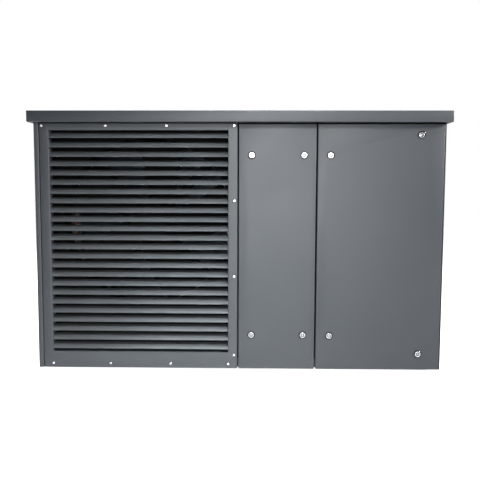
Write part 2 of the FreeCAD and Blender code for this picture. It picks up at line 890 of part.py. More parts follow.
def coil_end_plates():
    """End plates of the block, each with a baffle that keeps air from passing beside it."""
    y0 = coil_front - end_plate_lap
    y1 = coil_front + coil_depth + end_plate_lap
    t = frame_sheet
    foot = z_floor + sheet
    left = box(coil_left - t, coil_left, y0, y1, foot, coil_top)
    left = left.fuse(box(-x_frame, coil_left, y1 - t, y1, z_rim, coil_top))
    right = box(coil_right, coil_right + t, y0, y1, foot, coil_top)
    right = right.fuse(box(coil_right, partition_x - sheet, y1 - t, y1, z_rim, coil_top))
    return Part.makeCompound([left.removeSplitter(), right.removeSplitter()])


def condensate_tray():
    """Shallow trough under the coil, with a hose spout that leads out at the back."""
    x0 = coil_left - tray_end_margin
    x1 = coil_right + tray_end_margin
    y0 = coil_front - tray_margin
    y1 = coil_front + coil_depth + tray_margin
    t = sheet
    tray = box(x0, x1, y0, y1, z_floor, z_floor + tray_height)
    tray = tray.cut(box(x0 + t, x1 - t, y0 + t, y1 - t, z_floor + t, z_floor + tray_height))
    start = V(fan_x, y1 - t, drain_z)
    tray = tray.fuse(drum(drain_neck_radius, start, Y_AXIS, y_back - start.y))
    tray = tray.fuse(rod(drain_radius, V(fan_x, y_back, drain_z), Y_AXIS, drain_reach))
    return tray.cut(rod(drain_radius - drain_wall, start, Y_AXIS, y_back + drain_reach - start.y))


def partition_wall():
    """Sheet between the air side and the machine side, cut out for two pipes."""
    x0 = partition_x - sheet
    wall = box(x0, partition_x, mullion_back_y, rear_mullion_front_y, z_floor, z_roof - frame_sheet)
    gas = (gas_header_y, gas_pipe_z, gas_pipe_radius)
    liquid = (liquid_header_y, expansion_z, liquid_pipe_radius)
    for y, z, radius in (gas, liquid):
        half = radius + pass_gap
        wall = wall.cut(box(x0, partition_x, y - half, y + half, z - half, z + half))
    return wall


def intake_border():
    """Folded border round the air intake, open at its foot for the drain spout."""
    x0 = grille_left
    x1 = grille_right
    z1 = z_base + body_height - rear_panel_top_gap
    t = sheet
    b = guard_border
    inner_y = y_back - panel_depth
    frame = box(x0, x1, inner_y, y_back, z_base, z1)
    frame = frame.cut(box(x0 + t, x1 - t, inner_y, y_back - t, z_base + t, z1 - t))
    frame = frame.cut(box(x0 + b, x1 - b, y_back - t, y_back, z_base + b, z1 - b))
    half = drain_radius + pass_gap
    return frame.cut(box(fan_x - half, fan_x + half, y_back - t, y_back, drain_z - half, drain_z + half))


def intake_guard():
    """Welded grid of square bars behind the border."""
    x0 = grille_left
    x1 = grille_right
    z1 = z_base + body_height - rear_panel_top_gap
    b = guard_border
    w = guard_bar
    start = b - guard_bar_lap
    back = y_back - sheet
    bars = []
    columns = int((x1 - x0 - 2 * b) / guard_bar_pitch)
    first = (x0 + x1 - (columns - 1) * guard_bar_pitch - w) / 2
    for i in range(columns):
        x = first + i * guard_bar_pitch
        bars.append(box(x, x + w, back - w, back, z_base + start, z1 - start))
    rise = z1 - z_base - 2 * b
    for i in range(guard_bar_rows):
        z = z_base + b + (i + 0.5) * rise / guard_bar_rows
        bars.append(box(x0 + start, x1 - start, back - 2 * w, back - w, z, z + w))
    return Part.makeCompound(bars)


def water_places():
    return [(flow_connection_x, port_high_z), (return_connection_x, port_low_z)]


def gland_places():
    return [(gland_x + i * gland_pitch, z_base + gland_above_base) for i in range(gland_count)]


def rear_panel():
    """Sheet over the machine side, with openings for water and cables."""
    x0 = middle_left - joint_gap / 2
    x1 = x_right - left_return - grille_gap_left
    z1 = z_base + body_height - rear_panel_top_gap
    inner_y = y_back - panel_depth
    t = sheet
    panel = box(x0, x1, inner_y, y_back, z_base, z1)
    panel = panel.cut(box(x0 + t, x1 - t, inner_y, y_back - t, z_base + t, z1 - t))
    for x, z in water_places():
        panel = panel.cut(rod(connection_radius + pass_gap, V(x, inner_y, z), Y_AXIS, panel_depth))
    half = gland_bore + pass_gap
    for x, z in gland_places():
        panel = panel.cut(box(x - half, x + half, inner_y, y_back, z - half, z + half))
    return panel


def cable_glands():
    """Hexagon cable inlets for supply and sensors, bored right through."""
    pieces = []
    for x, z in gland_places():
        start = V(x, y_back, z)
        body = drum(gland_across_flats / 2, start, Y_AXIS, gland_reach, 6)
        pieces.append(body.cut(rod(gland_bore, start, Y_AXIS, gland_reach)))
    return Part.makeCompound(pieces)


def water_connections():
    """Threaded ends for flow and return on narrower shanks that pass the rear panel."""
    start_y = y_back - panel_depth
    pieces = []
    for x, z in water_places():
        start = V(x, start_y, z)
        shank = drum(connection_shank_radius, start, Y_AXIS, panel_depth)
        thread = rod(connection_radius, V(x, y_back, z), Y_AXIS, connection_length)
        bore = rod(connection_bore, start, Y_AXIS, panel_depth + connection_length)
        pieces.append(shank.fuse(thread).cut(bore))
    return Part.makeCompound(pieces)


# Refrigerant and water circuit

def compressor_feet():
    places = []
    for i in range(3):
        turn = math.radians(90 + 120 * i)
        x = compressor_x + compressor_foot_radius * math.cos(turn)
        places.append((x, compressor_y + compressor_foot_radius * math.sin(turn)))
    return places


def compressor_shell():
    """Round shell with sloping shoulders."""
    base = V(compressor_x, compressor_y, z_floor + grommet_height + compressor_plate)
    straight = compressor_height - compressor_shoulder_height
    shell = drum(compressor_radius, base, Z_AXIS, straight)
    neck = compressor_radius - compressor_shoulder_width
    shoulder = base + Z_AXIS * straight
    return shell.fuse(frustum(compressor_radius, neck, shoulder, Z_AXIS, compressor_shoulder_height))


def compressor():
    """Welded shell on a three-cornered foot plate."""
    foot = z_floor + grommet_height
    corners = []
    for x, y in compressor_feet():
        away = V(x - compressor_x, y - compressor_y, 0).normalize()
        side = V(-away.y, away.x, 0)
        tip = V(x, y, foot) + away * grommet_radius
        corners.append(tip + side * -grommet_radius)
        corners.append(tip + side * grommet_radius)
    return compressor_shell().fuse(prism(corners, V(0, 0, compressor_plate)))


def compressor_grommets():
    """Rubber feet under the corners of the compressor's plate."""
    return Part.makeCompound([
        drum(grommet_radius, V(x, y, z_floor), Z_AXIS, grommet_height, grommet_sides)
        for x, y in compressor_feet()
    ])


def valve_core():
    start = V(valve_x, valve_y - valve_length / 2, valve_z)
    return drum(valve_radius, start, Y_AXIS, valve_length)


def reversing_valve():
    """Four-way valve, a cylinder lying front to back, with its pilot coil."""
    half = pilot_size / 2
    low = valve_x - valve_radius - pilot_size
    pilot = box(low, valve_x, valve_y - half, valve_y + half, valve_z - half, valve_z + half)
    return valve_core().fuse(pilot)


def accumulator():
    """Suction accumulator, a drawn can with sloping ends."""
    foot = V(valve_x, valve_y, accumulator_base)
    end = accumulator_end
    straight = accumulator_height - 2 * end
    r = accumulator_radius
    can = drum(r, foot + Z_AXIS * end, Z_AXIS, straight)
    can = can.fuse(frustum(r - end, r, foot, Z_AXIS, end))
    return can.fuse(frustum(r, r - end, foot + Z_AXIS * (end + straight), Z_AXIS, end))


def plate_exchanger():
    """Brazed plate pack between two thicker cover plates."""
    cover = exchanger_cover
    pack = exchanger_plates(exchanger_left, exchanger_right, exchanger_step)
    pack = pack.fuse(exchanger_plates(exchanger_left, exchanger_left + cover, 0.0))
    return pack.fuse(exchanger_plates(exchanger_right - cover, exchanger_right, 0.0))


def exchanger_plates(x0, x1, inset):
    """A stack of plates with cut corners, set in from the pack's outline."""
    y0 = exchanger_front + inset
    y1 = exchanger_front + exchanger_width - inset
    z0 = exchanger_base + inset
    z1 = exchanger_base + exchanger_height - inset
    return soften(box(x0, x1, y0, y1, z0, z1), exchanger_corner, lambda e: e.BoundBox.XLength > 1)


def circuit_brackets():
    """Strap that holds the accumulator and angle that carries the plate pack."""
    t = bracket_sheet
    foot = bracket_foot
    back = valve_y + accumulator_radius
    half = bracket_width / 2
    x0 = valve_x - half
    x1 = valve_x + half
    strap = box(x0, x1, back, back + t, z_floor, accumulator_base + accumulator_height / 2)
    strap = strap.fuse(box(x0, x1, back, back + foot, z_floor, z_floor + t))
    x0 = exchanger_left
    y0 = liquid_header_y + half
    y1 = exchanger_front + exchanger_width - exchanger_corner
    shelf = box(x0, exchanger_right, y0, y1, exchanger_base - t, exchanger_base)
    shelf = shelf.fuse(box(x0, x0 + t, y0, y1, z_floor, exchanger_base))
    shelf = shelf.fuse(box(x0, x0 + foot, y0, y1, z_floor, z_floor + t))
    return Part.makeCompound([strap.removeSplitter(), shelf.removeSplitter()])


def pump_volute():
    start = V(pump_x, water_port_y - pump_housing_depth / 2, port_low_z)
    return drum(pump_housing_radius, start, Y_AXIS, pump_housing_depth)


def circulation_pump():
    """Inline pump: round volute in the pipe's line, motor and terminal box in front."""
    front = water_port_y - pump_housing_depth / 2
    end = front - pump_motor_length
    r = pump_motor_radius
    motor = drum(r, V(pump_x, end, port_low_z), Y_AXIS, pump_motor_length)
    top = port_low_z + r + pump_box_rise
    head = box(pump_x - r, pump_x + r, end - pump_box_depth, end, port_low_z - r, top)
    return pump_volute().fuse(motor).fuse(head)


def expansion_valve():
    """Brass valve body with its stepper drive on top."""
    start = V(expansion_x - expansion_length / 2, liquid_header_y, expansion_z)
    body = drum(expansion_across_flats / 2, start, X_AXIS, expansion_length, 6)
    foot = V(expansion_x, liquid_header_y, expansion_z)
    return body.fuse(drum(expansion_drive_radius, foot, Z_AXIS, expansion_drive_height))


def discharge_pipes():
    """Compressor to reversing valve, and valve to plate pack."""
    over = valve_z + valve_radius + discharge_rise
    start = V(compressor_x, compressor_y, z_floor + grommet_height + compressor_plate + compressor_height)
    end = V(valve_x, valve_y, valve_z + valve_radius)
    to_valve = pipe([start, V(start.x, start.y, over), V(end.x, end.y, over), end], gas_pipe_radius)
    top = V(valve_x, liquid_header_y, valve_z)
    bend = V(valve_x, liquid_header_y, port_high_z)
    port = V(exchanger_right, liquid_header_y, port_high_z)
    return Part.makeCompound([to_valve, pipe([top, bend, port], gas_pipe_radius).cut(valve_core())])


def suction_pipes():
    """Coil riser to valve, valve to accumulator and accumulator to compressor."""
    y = gas_header_y
    r = gas_pipe_radius
    low = z_base + header_low
    high = header_top_z
    coil_side = pipe([V(header_x, y, gas_pipe_z), V(valve_x, y, gas_pipe_z), V(valve_x, y, valve_z)], r)
    coil_side = coil_side.fuse(drum(header_radius, V(header_x, y, low), Z_AXIS, high - low, pipe_sides))
    coil_side = coil_side.fuse(coil_feeds(y, low, high)).cut(valve_core())
    can_top = accumulator_base + accumulator_height
    to_can = drum(r, V(valve_x, valve_y, can_top), Z_AXIS, valve_z - can_top, pipe_sides)
    foot = V(valve_x, valve_y, accumulator_base)
    bend = V(valve_x, valve_y, suction_entry_z)
    axis = V(compressor_x, compressor_y, suction_entry_z)
    inside = axis + (bend - axis).normalize() * (compressor_radius / 2)
    to_shell = pipe([foot, bend, inside], r).cut(compressor_shell())
    return Part.makeCompound([coil_side, to_can.cut(valve_core()), to_shell])


def coil_feeds(y, low, high):
    """Short copper feeds from a riser to the end plate of the coil."""
    reach = header_x - coil_right - frame_sheet
    step = (high - low) / header_feed_count
    half = header_feed_radius
    feeds = []
    for i in range(header_feed_count):
        z = low + step * (i + 0.5)
        feeds.append(box(header_x - reach, header_x, y - half, y + half, z - half, z + half))
    return Part.makeCompound(feeds)


def liquid_line():
    """Plate pack to expansion valve, and valve to the coil's liquid riser."""
    y = liquid_header_y
    r = liquid_pipe_radius
    half = expansion_length / 2
    out = V(exchanger_right, y, port_low_z)
    turn = V(liquid_drop_x, y, port_low_z)
    first = pipe([out, turn, V(liquid_drop_x, y, expansion_z), V(expansion_x + half, y, expansion_z)], r)
    top = header_top_z
    outlet = V(expansion_x - half, y, expansion_z)
    second = pipe([outlet, V(header_x, y, expansion_z), V(header_x, y, top)], r)
    feeds = coil_feeds(y, expansion_z + pipe_bend_radius, top)
    return Part.makeCompound([first, second.fuse(feeds)])


def water_pipes():
    """Plate pack to the flow stub, and return stub to the pump and the plate pack."""
    y = water_port_y
    end_y = y_back - panel_depth
    r = water_pipe_radius
    x0 = exchanger_right
    x1 = flow_connection_x
    x2 = return_connection_x
    flow = pipe([V(x0, y, port_high_z), V(x1, y, port_high_z), V(x1, end_y, port_high_z)], r)
    link = drum(r, V(x0, y, port_low_z), X_AXIS, pump_x - x0, pipe_sides)
    back = pipe([V(pump_x, y, port_low_z), V(x2, y, port_low_z), V(x2, end_y, port_low_z)], r)
    volute = pump_volute()
    return Part.makeCompound([flow, link.cut(volute), back.cut(volute)])


# Electrical compartment

def electrical_box():
    """Open tray between the two front mullions that carries the electrical parts."""
    x0 = partition_x
    x1 = mullion_right_x + mullion_tube_width / 2
    z0 = z_base + box_foot
    z1 = z_roof - box_head
    t = sheet
    tray = box(x0, x1, mullion_back_y, box_back, z0, z1)
    return tray.cut(box(x0 + t, x1 - t, mullion_back_y, box_back - t, z0 + t, z1 - t))


def inverter():
    """Drive module with a finned heat sink on its front."""
    x0 = partition_x + box_inset
    y1 = box_back - sheet
    y0 = y1 - inverter_depth
    z0 = z_base + inverter_above_base
    z1 = z0 + inverter_height
    body = box(x0, x0 + inverter_width, y0 + heat_sink_depth, y1, z0, z1)
    pitch = (inverter_width - heat_sink_fin) / (heat_sink_fin_count - 1)
    for i in range(heat_sink_fin_count):
        x = x0 + i * pitch
        body = body.fuse(box(x, x + heat_sink_fin, y0, y0 + heat_sink_depth, z0, z1))
    return body.removeSplitter()


def control_board():
    """Circuit board on square standoffs with relays, transformer and connector strip."""
    x0 = partition_x + box_inset
    x1 = x0 + board_width
    z0 = z_base + board_above_base
    z1 = z0 + board_height
    back = box_back - sheet - board_standoff
    front = back - board_sheet
    board = box(x0, x1, front, back, z0, z1)
    s = board_standoff
    for x in (x0, x1 - s):
        for z in (z0, z1 - s):
            board = board.fuse(box(x, x + s, back, back + s, z, z + s))
    left = x0 + board_margin
    right = x1 - board_margin
    high = z1 - board_margin
    low = z0 + board_margin
    relay_front = front - relay_depth
    for i in range(relay_count):
        x = left + i * relay_pitch
        board = board.fuse(box(x, x + relay_width, relay_front, front, high - relay_height, high))
    size = transformer_size
    block = box(right - size, right, front - size / 2, front, high - size, high)
    strip = box(left, right, relay_front, front, low, low + relay_width)
    return board.fuse(block).fuse(strip)


def terminal_rail():
    """Row of clamp terminals on a rail."""
    x0 = partition_x + box_inset
    y1 = box_back - sheet
    z0 = z_base + terminal_above_base
    length = terminal_count * terminal_width
    rail_y = y1 - terminal_rail_depth
    overlap = (terminal_height - terminal_rail_height) / 2
    pieces = [box(x0 - overlap, x0 + length + overlap, rail_y, y1, z0, z0 + terminal_rail_height)]
    for i in range(terminal_count):
        x = x0 + i * terminal_width
        x1 = x + terminal_width - terminal_gap
        z = z0 - overlap
        pieces.append(box(x, x1, rail_y - terminal_depth, rail_y, z, z + terminal_height))
    return Part.makeCompound(pieces)


def parts():
    nodes = {
        "foot_pads": foot_pads(),
        "foot_rails": foot_rails(),
        "base_pan": base_pan(),
        "corner_posts": corner_posts(),
        "top_frame": top_frame(),
        "front_mullion_left": mullion(mullion_left_x, y_frame, 1),
        "front_mullion_right": mullion(mullion_right_x, y_frame, 1),
        "rear_mullion": mullion((grille_right + middle_left) / 2, y_frame_back, -1),
        "side_panel_left": side_panel_left(),
        "side_panel_right": side_panel_right(),
        "rear_panel": rear_panel(),
        "roof_cap": roof_cap(),
        "roof_insulation": roof_insulation(),
        "grille_frame": grille_frame(),
        "louvre_blades": louvre_blades(),
        "service_panel_middle": service_panel("middle", middle_left, middle_right),
        "service_panel_right": service_panel("right", right_left, right_right),
        "panel_seal_middle": panel_seal(middle_left, middle_right),
        "panel_seal_right": panel_seal(right_left, right_right),
        "lock_housings_middle": lock_housings("middle"),
        "lock_housings_right": lock_housings("right"),
        "fan_plate": fan_plate(),
        "fan_impeller": fan_impeller(),
        "fan_rotor": fan_rotor(),
        "fan_stator": fan_stator(),
        "fan_spider": fan_spider(),
        "evaporator_coil": evaporator_coil(),
        "coil_end_plates": coil_end_plates(),
        "condensate_tray": condensate_tray(),
        "partition_wall": partition_wall(),
        "intake_border": intake_border(),
        "intake_guard": intake_guard(),
        "cable_glands": cable_glands(),
        "water_connections": water_connections(),
        "compressor": compressor(),
        "compressor_grommets": compressor_grommets(),
        "reversing_valve": reversing_valve(),
        "accumulator": accumulator(),
        "plate_exchanger": plate_exchanger(),
        "circuit_brackets": circuit_brackets(),
        "circulation_pump": circulation_pump(),
        "expansion_valve": expansion_valve(),
        "discharge_pipes": discharge_pipes(),
        "suction_pipes": suction_pipes(),
        "liquid_line": liquid_line(),
        "water_pipes": water_pipes(),
        "electrical_box": electrical_box(),
        "inverter": inverter(),
        "control_board": control_board(),
        "terminal_rail": terminal_rail(),
    }
    for name, (panel_name, x, z, turn) in locks.items():
        nodes[name] = lock_cam(x, z, turn)
    return nodes


os.makedirs("parts", exist_ok=True)
for node, shape in parts().items():
    shape.exportStep("parts/" + node + ".step")
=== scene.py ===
import math

import bmesh
import bpy
from mathutils import Matrix, Vector


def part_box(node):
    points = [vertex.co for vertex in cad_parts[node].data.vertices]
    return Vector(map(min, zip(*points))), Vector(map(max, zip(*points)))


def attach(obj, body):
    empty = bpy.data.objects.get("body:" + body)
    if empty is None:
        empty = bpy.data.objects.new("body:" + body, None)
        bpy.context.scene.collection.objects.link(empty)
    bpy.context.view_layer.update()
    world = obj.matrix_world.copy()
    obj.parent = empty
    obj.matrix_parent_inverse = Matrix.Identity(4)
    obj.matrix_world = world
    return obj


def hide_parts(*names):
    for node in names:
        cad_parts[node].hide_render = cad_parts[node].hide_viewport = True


# Air-to-water heat pump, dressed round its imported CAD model. Metres throughout.
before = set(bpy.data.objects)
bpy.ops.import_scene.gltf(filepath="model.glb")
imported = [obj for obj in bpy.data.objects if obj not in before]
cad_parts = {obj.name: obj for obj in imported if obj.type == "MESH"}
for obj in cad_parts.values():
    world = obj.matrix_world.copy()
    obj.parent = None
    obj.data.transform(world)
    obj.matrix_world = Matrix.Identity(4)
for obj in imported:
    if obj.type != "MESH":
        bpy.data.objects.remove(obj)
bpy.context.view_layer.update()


# The studio: a pale floor in a white surround, one softbox in front, a small one high on the
# right, one overhead, one behind, one at the left rear and two narrow beams from the front. The
# camera stands at the photograph's height and angle.

scene = bpy.context.scene
scene.view_settings.view_transform = "Standard"
scene.view_settings.look = "None"

CAMERA_PLACE = Vector((0.0398, -2.2328, 0.6126))
CAMERA_PITCH = 0.084537
CAMERA_YAW = 0.017829
CAMERA_ROLL = 0.002501
CAMERA_LENS = 45.85
CAMERA_SENSOR = 36.0

camera = bpy.data.objects.new("camera", bpy.data.cameras.new("camera"))
scene.collection.objects.link(camera)
scene.camera = camera
camera.data.lens = CAMERA_LENS
camera.data.sensor_width = CAMERA_SENSOR
camera.data.clip_start = 0.05
camera.data.clip_end = 60.0
camera.location = CAMERA_PLACE
ahead = Vector((
    -math.sin(CAMERA_YAW) * math.cos(CAMERA_PITCH),
    math.cos(CAMERA_YAW) * math.cos(CAMERA_PITCH),
    -math.sin(CAMERA_PITCH),
))
across = Vector((math.cos(CAMERA_YAW), math.sin(CAMERA_YAW), 0.0))
upright = across.cross(ahead)
right_hand = across * math.cos(CAMERA_ROLL) + upright * math.sin(CAMERA_ROLL)
upwards = upright * math.cos(CAMERA_ROLL) - across * math.sin(CAMERA_ROLL)
camera.rotation_mode = "QUATERNION"
camera.rotation_quaternion = Matrix((right_hand, upwards, -ahead)).transposed().to_quaternion()

for name, place, target, width, height, watts, spread in (
    ("softbox_front", (0.1, -3.0, 0.9), (0.1, -0.26, 0.6), 1.2, 1.0, 47.0, 180),
    ("softbox_right", (2.6, -1.0, 1.6), (0.1, -0.26, 0.5), 0.5, 0.5, 105.0, 180),
    ("softbox_top", (0.6, -0.6, 3.4), (0.2, 0.0, 0.4), 3.4, 2.6, 15.0, 180),
    ("softbox_back", (-1.2, 3.2, 1.9), (0.0, 0.2, 0.5), 2.6, 1.8, 100.0, 180),
    ("softbox_left", (-3.4, 0.9, 1.3), (-0.6, 0.1, 0.5), 1.6, 1.6, 110.0, 180),
    ("beam_upper", (0.15, -2.6, 1.9), (0.1, -0.26, 0.78), 0.5, 0.5, 0.35, 50),
    ("beam_lower", (0.5, -1.8, 2.2), (-0.12, -0.26, 0.16), 0.4, 0.4, 5.0, 36),
):
    lamp = bpy.data.lights.new(name, "AREA")
    lamp.shape = "RECTANGLE"
    lamp.size = width
    lamp.size_y = height
    lamp.energy = watts
    lamp.spread = math.radians(spread)
    holder = bpy.data.objects.new(name, lamp)
    scene.collection.objects.link(holder)
    holder.location = place
    holder.rotation_euler = (Vector(target) - Vector(place)).to_track_quat("-Z", "Y").to_euler()


def add_node(tree, kind, given=None, **settings):
    """Adds a shader node; a given value is set on its socket, a given socket is linked to it."""
    new = tree.nodes.new(kind)
    for key, value in settings.items():
        setattr(new, key, value)
    for key, value in (given or {}).items():
        if isinstance(value, bpy.types.NodeSocket):
            tree.links.new(value, new.inputs[key])
        else:
            new.inputs[key].default_value = value
    return new


surround = bpy.data.worlds.new("surround")
scene.world = surround
surround.use_nodes = True
sky = surround.node_tree
sky.nodes.clear()
seen = add_node(sky, "ShaderNodeLightPath").outputs["Is Camera Ray"]
dim = add_node(sky, "ShaderNodeBackground", {"Color": (0.86, 0.93, 1.0, 1.0), "Strength": 0.02})
white = add_node(sky, "ShaderNodeBackground", {"Color": (1.0, 1.0, 1.0, 1.0), "Strength": 1.0})
either = add_node(sky, "ShaderNodeMixShader", {0: seen, 1: dim.outputs[0], 2: white.outputs[0]})
add_node(sky, "ShaderNodeOutputWorld", {"Surface": either.outputs[0]})

bpy.ops.object.select_all(action="DESELECT")
bpy.ops.mesh.primitive_plane_add(size=16.0, location=(0.0, 0.0, 0.0))
floor = bpy.context.active_object
floor.name = "studio_floor"
floor_finish = bpy.data.materials.new("pale_floor")
floor_finish.use_nodes = True
floor_tree = floor_finish.node_tree
floor_shader = floor_tree.nodes["Principled BSDF"]
for key, value in (
    ("Base Color", (0.93, 0.93, 0.93, 1.0)), ("Roughness", 0.9), ("Specular IOR Level", 0.0),
    ("Emission Color", (1.0, 1.0, 1.0, 1.0)),
):
    floor_shader.inputs[key].default_value = value
floor_seen = add_node(floor_tree, "ShaderNodeLightPath").outputs["Is Camera Ray"]
floor_tree.links.new(floor_seen, floor_shader.inputs["Emission Strength"])
floor.data.materials.append(floor_finish)


# Roof cap: a lid folded from 1.5 mm sheet, its four skirts turned inwards at the foot in a hem.
# It is powder coated in a satin anthracite, as all the outer sheets are.

SHEET = 0.0015
ROOF_BEND = 0.0028
ROOF_HEM = 0.0135
RIGHT = Vector((1, 0, 0))
LEFT = Vector((-1, 0, 0))
FRONT = Vector((0, -1, 0))
BACK = Vector((0, 1, 0))
UP = Vector((0, 0, 1))
DOWN = Vector((0, 0, -1))
WHITE = (1, 1, 1, 1)
DUST_COLOUR = (0.35, 0.33, 0.30, 1)


def effect_group(name, gives, **takes):
    """A shader group with named sockets: its tree, the sockets it is given and the one it fills."""
    tree = bpy.data.node_groups.new(name, "ShaderNodeTree")
    for label, value in takes.items():
        kind = "NodeSocketFloat" if isinstance(value, float) else "NodeSocketColor"
        tree.interface.new_socket(label, in_out="INPUT", socket_type=kind).default_value = value
    kind = "NodeSocketColor" if gives == "Colour" else "NodeSocketFloat"
    tree.interface.new_socket(gives, in_out="OUTPUT", socket_type=kind)
    return tree, tree.nodes.new("NodeGroupInput").outputs, tree.nodes.new("NodeGroupOutput").inputs[gives]


def number(tree, operation, a, b):
    """One sum in a shader tree."""
    return add_node(tree, "ShaderNodeMath", {0: a, 1: b}, operation=operation).outputs[0]


def stretched(tree, value, low=0.0, high=1.0, start=0.3, end=0.7):
    """Spreads a value between two limits."""
    return add_node(tree, "ShaderNodeMapRange", {
        "Value": value, "From Min": start, "From Max": end, "To Min": low, "To Max": high,
    }).outputs[0]


def cloud(tree, size, **values):
    """A noise laid out in the object's own space."""
    place = add_node(tree, "ShaderNodeTexCoord").outputs["Object"]
    return add_node(tree, "ShaderNodeTexNoise", {"Vector": place, "Scale": size, **values}).outputs["Fac"]


def between(tree, share, first, second):
    """A colour between two."""
    return add_node(tree, "ShaderNodeMix", {0: share, 6: first, 7: second}, data_type="RGBA").outputs[2]


# Slow change of tone over a surface, between two colours.
tone_group, given, result = effect_group("slow_tone", "Colour", Colour=WHITE, Second=WHITE, Size=5.0)
share = stretched(tone_group, cloud(tone_group, given["Size"], Detail=4.0, Roughness=0.55))
tone_group.links.new(between(tone_group, share, given["Colour"], given["Second"]), result)

# Fine skin of a sprayed, cast or moulded surface: a small pimple over a broader wave.
skin_group, given, result = effect_group("fine_skin", "Height", Size=900.0)
pimple = cloud(skin_group, given["Size"], Detail=2.0)
wave = cloud(skin_group, number(skin_group, "MULTIPLY", given["Size"], 0.12), Detail=1.0)
raised = number(skin_group, "ADD", pimple, number(skin_group, "MULTIPLY", wave, 0.3))
skin_group.links.new(raised, result)

# Gloss that changes a little where a surface was handled and wiped.
wipe_group, given, result = effect_group("wiped_gloss", "Roughness", Low=0.4, High=0.5)
smear = cloud(wipe_group, 7.0, Detail=6.0, Roughness=0.6, Distortion=0.6)
wipe_group.links.new(stretched(wipe_group, smear, given["Low"], given["High"]), result)

# Dust that settles on what faces up, thicker in patches.
dust_group, given, result = effect_group("settled_dust", "Colour", Colour=WHITE, Amount=0.2)
normal = add_node(dust_group, "ShaderNodeNewGeometry").outputs["Normal"]
level = add_node(dust_group, "ShaderNodeSeparateXYZ", {0: normal}).outputs["Z"]
patches = stretched(dust_group, cloud(dust_group, 11.0, Detail=5.0), low=0.35)
mask = number(dust_group, "MULTIPLY", stretched(dust_group, level, end=1.0), patches)
mask = number(dust_group, "MULTIPLY", mask, given["Amount"])
dust_group.links.new(between(dust_group, mask, given["Colour"], DUST_COLOUR), result)


def effect(tree, group, **given):
    """Puts one of the shared effects into a material."""
    return add_node(tree, "ShaderNodeGroup", given, node_tree=group).outputs[0]


def surface(name, colour, second, tone_size, gloss, skin_size, skin_depth, dust=0.0, **shader_values):
    """A finish of tone, gloss and skin; whatever else it needs is set on its shader."""
    finish = bpy.data.materials.new(name)
    finish.use_nodes = True
    tree = finish.node_tree
    shader = tree.nodes["Principled BSDF"]
    tone = effect(tree, tone_group, Colour=(*colour, 1), Second=(*second, 1), Size=tone_size)
    if dust:
        tone = effect(tree, dust_group, Colour=tone, Amount=dust)
    wiped = effect(tree, wipe_group, Low=gloss[0], High=gloss[1])
    skin = effect(tree, skin_group, Size=skin_size)
    bump = add_node(tree, "ShaderNodeBump", {"Height": skin, "Distance": skin_depth, "Strength": 0.6})
    tree.links.new(tone, shader.inputs["Base Color"])
    tree.links.new(wiped, shader.inputs["Roughness"])
    tree.links.new(bump.outputs["Normal"], shader.inputs["Normal"])
    for key, value in shader_values.items():
        shader.inputs[key.replace("_", " ")].default_value = value
    return finish


powder_coat = surface("anthracite_powder_coat", (0.0410, 0.0472, 0.0540), (0.0352, 0.0412, 0.0480), 3.2,
                      (0.42, 0.50), 1100.0, 0.00006)


def start_clean(piece=None):
    """Leaves edit mode and selects nothing, or just the piece that is given."""
    if bpy.context.mode != "OBJECT":
        bpy.ops.object.mode_set(mode="OBJECT")
    bpy.ops.object.select_all(action="DESELECT")
    if piece:
        bpy.context.view_layer.objects.active = piece
        piece.select_set(True)


def named(name):
    """Names what was just added and lays its place into its mesh."""
    piece = bpy.context.active_object
    piece.name = name
    piece.data.name = name
    bpy.ops.object.transform_apply(location=True, rotation=True, scale=True)
    return piece


def block(name, low, high):
    """A box between two corners, ready for shaping."""
    start_clean()
    low = Vector(low)
    high = Vector(high)
    bpy.ops.mesh.primitive_cube_add(size=1.0, location=(low + high) / 2, scale=high - low)
    return named(name)


def choose(piece, kind, test=lambda item: True):
    """Goes into edit mode with just those faces, edges or points selected that pass a test."""
    start_clean(piece)
    bpy.ops.object.mode_set(mode="EDIT")
    bpy.ops.mesh.select_mode(type=kind)
    bpy.ops.mesh.select_all(action="DESELECT")
    mesh = bmesh.from_edit_mesh(piece.data)
    mesh.normal_update()
    for item in {"VERT": mesh.verts, "EDGE": mesh.edges, "FACE": mesh.faces}[kind]:
        if test(item):
            item.select_set(True)
    mesh.select_flush_mode()
    bmesh.update_edit_mesh(piece.data)


def facing(direction):
    """A test for faces that look one way."""
    return lambda f: f.normal.dot(direction) > 0.9


def sharp(edge):
    return len(edge.link_faces) == 2 and edge.calc_face_angle() > 0.5


def modified(piece, kind, **settings):
    """Adds a modifier and applies it at once."""
    start_clean(piece)
    change = piece.modifiers.new(kind.lower(), kind)
    for key, value in settings.items():
        setattr(change, key, value)
    bpy.ops.object.modifier_apply(modifier=change.name)
    return piece


def thickened(piece, thickness=SHEET):
    """Gives a folded sheet its thickness, inwards from its face."""
    return modified(piece, "SOLIDIFY", thickness=thickness, offset=-1.0, use_even_offset=True)


def bend_edges(piece, radius, steps=3, test=sharp):
    """Rounds the folds of a sheet to their bend radius."""
    choose(piece, "EDGE", test)
    bpy.ops.mesh.bevel(offset=radius, offset_type="OFFSET", segments=steps, affect="EDGES")
    start_clean()
    return piece


def smoothed(piece, angle=35.0):
    start_clean(piece)
    bpy.ops.object.shade_smooth_by_angle(angle=math.radians(angle))
    return piece


def folded_tray(name, low, high, opening, lip, bend):
    """A tray folded from one sheet: it is open towards one side, where its lip turns inwards."""
    tray = block(name, low, high)
    choose(tray, "FACE", facing(opening))
    if lip:
        bpy.ops.mesh.inset(thickness=lip, depth=0.0)
    bpy.ops.mesh.delete(type="FACE")
    return smoothed(thickened(bend_edges(tray, bend)))


def dress(piece, finish, slot, *nodes, body="casing"):
    """Gives a piece its finish and its body, and hides the CAD nodes it stands for; the slot is not used."""
    piece.data.materials.clear()
    piece.data.materials.append(finish)
    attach(piece, body)
    if nodes:
        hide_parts(*nodes)
    return piece


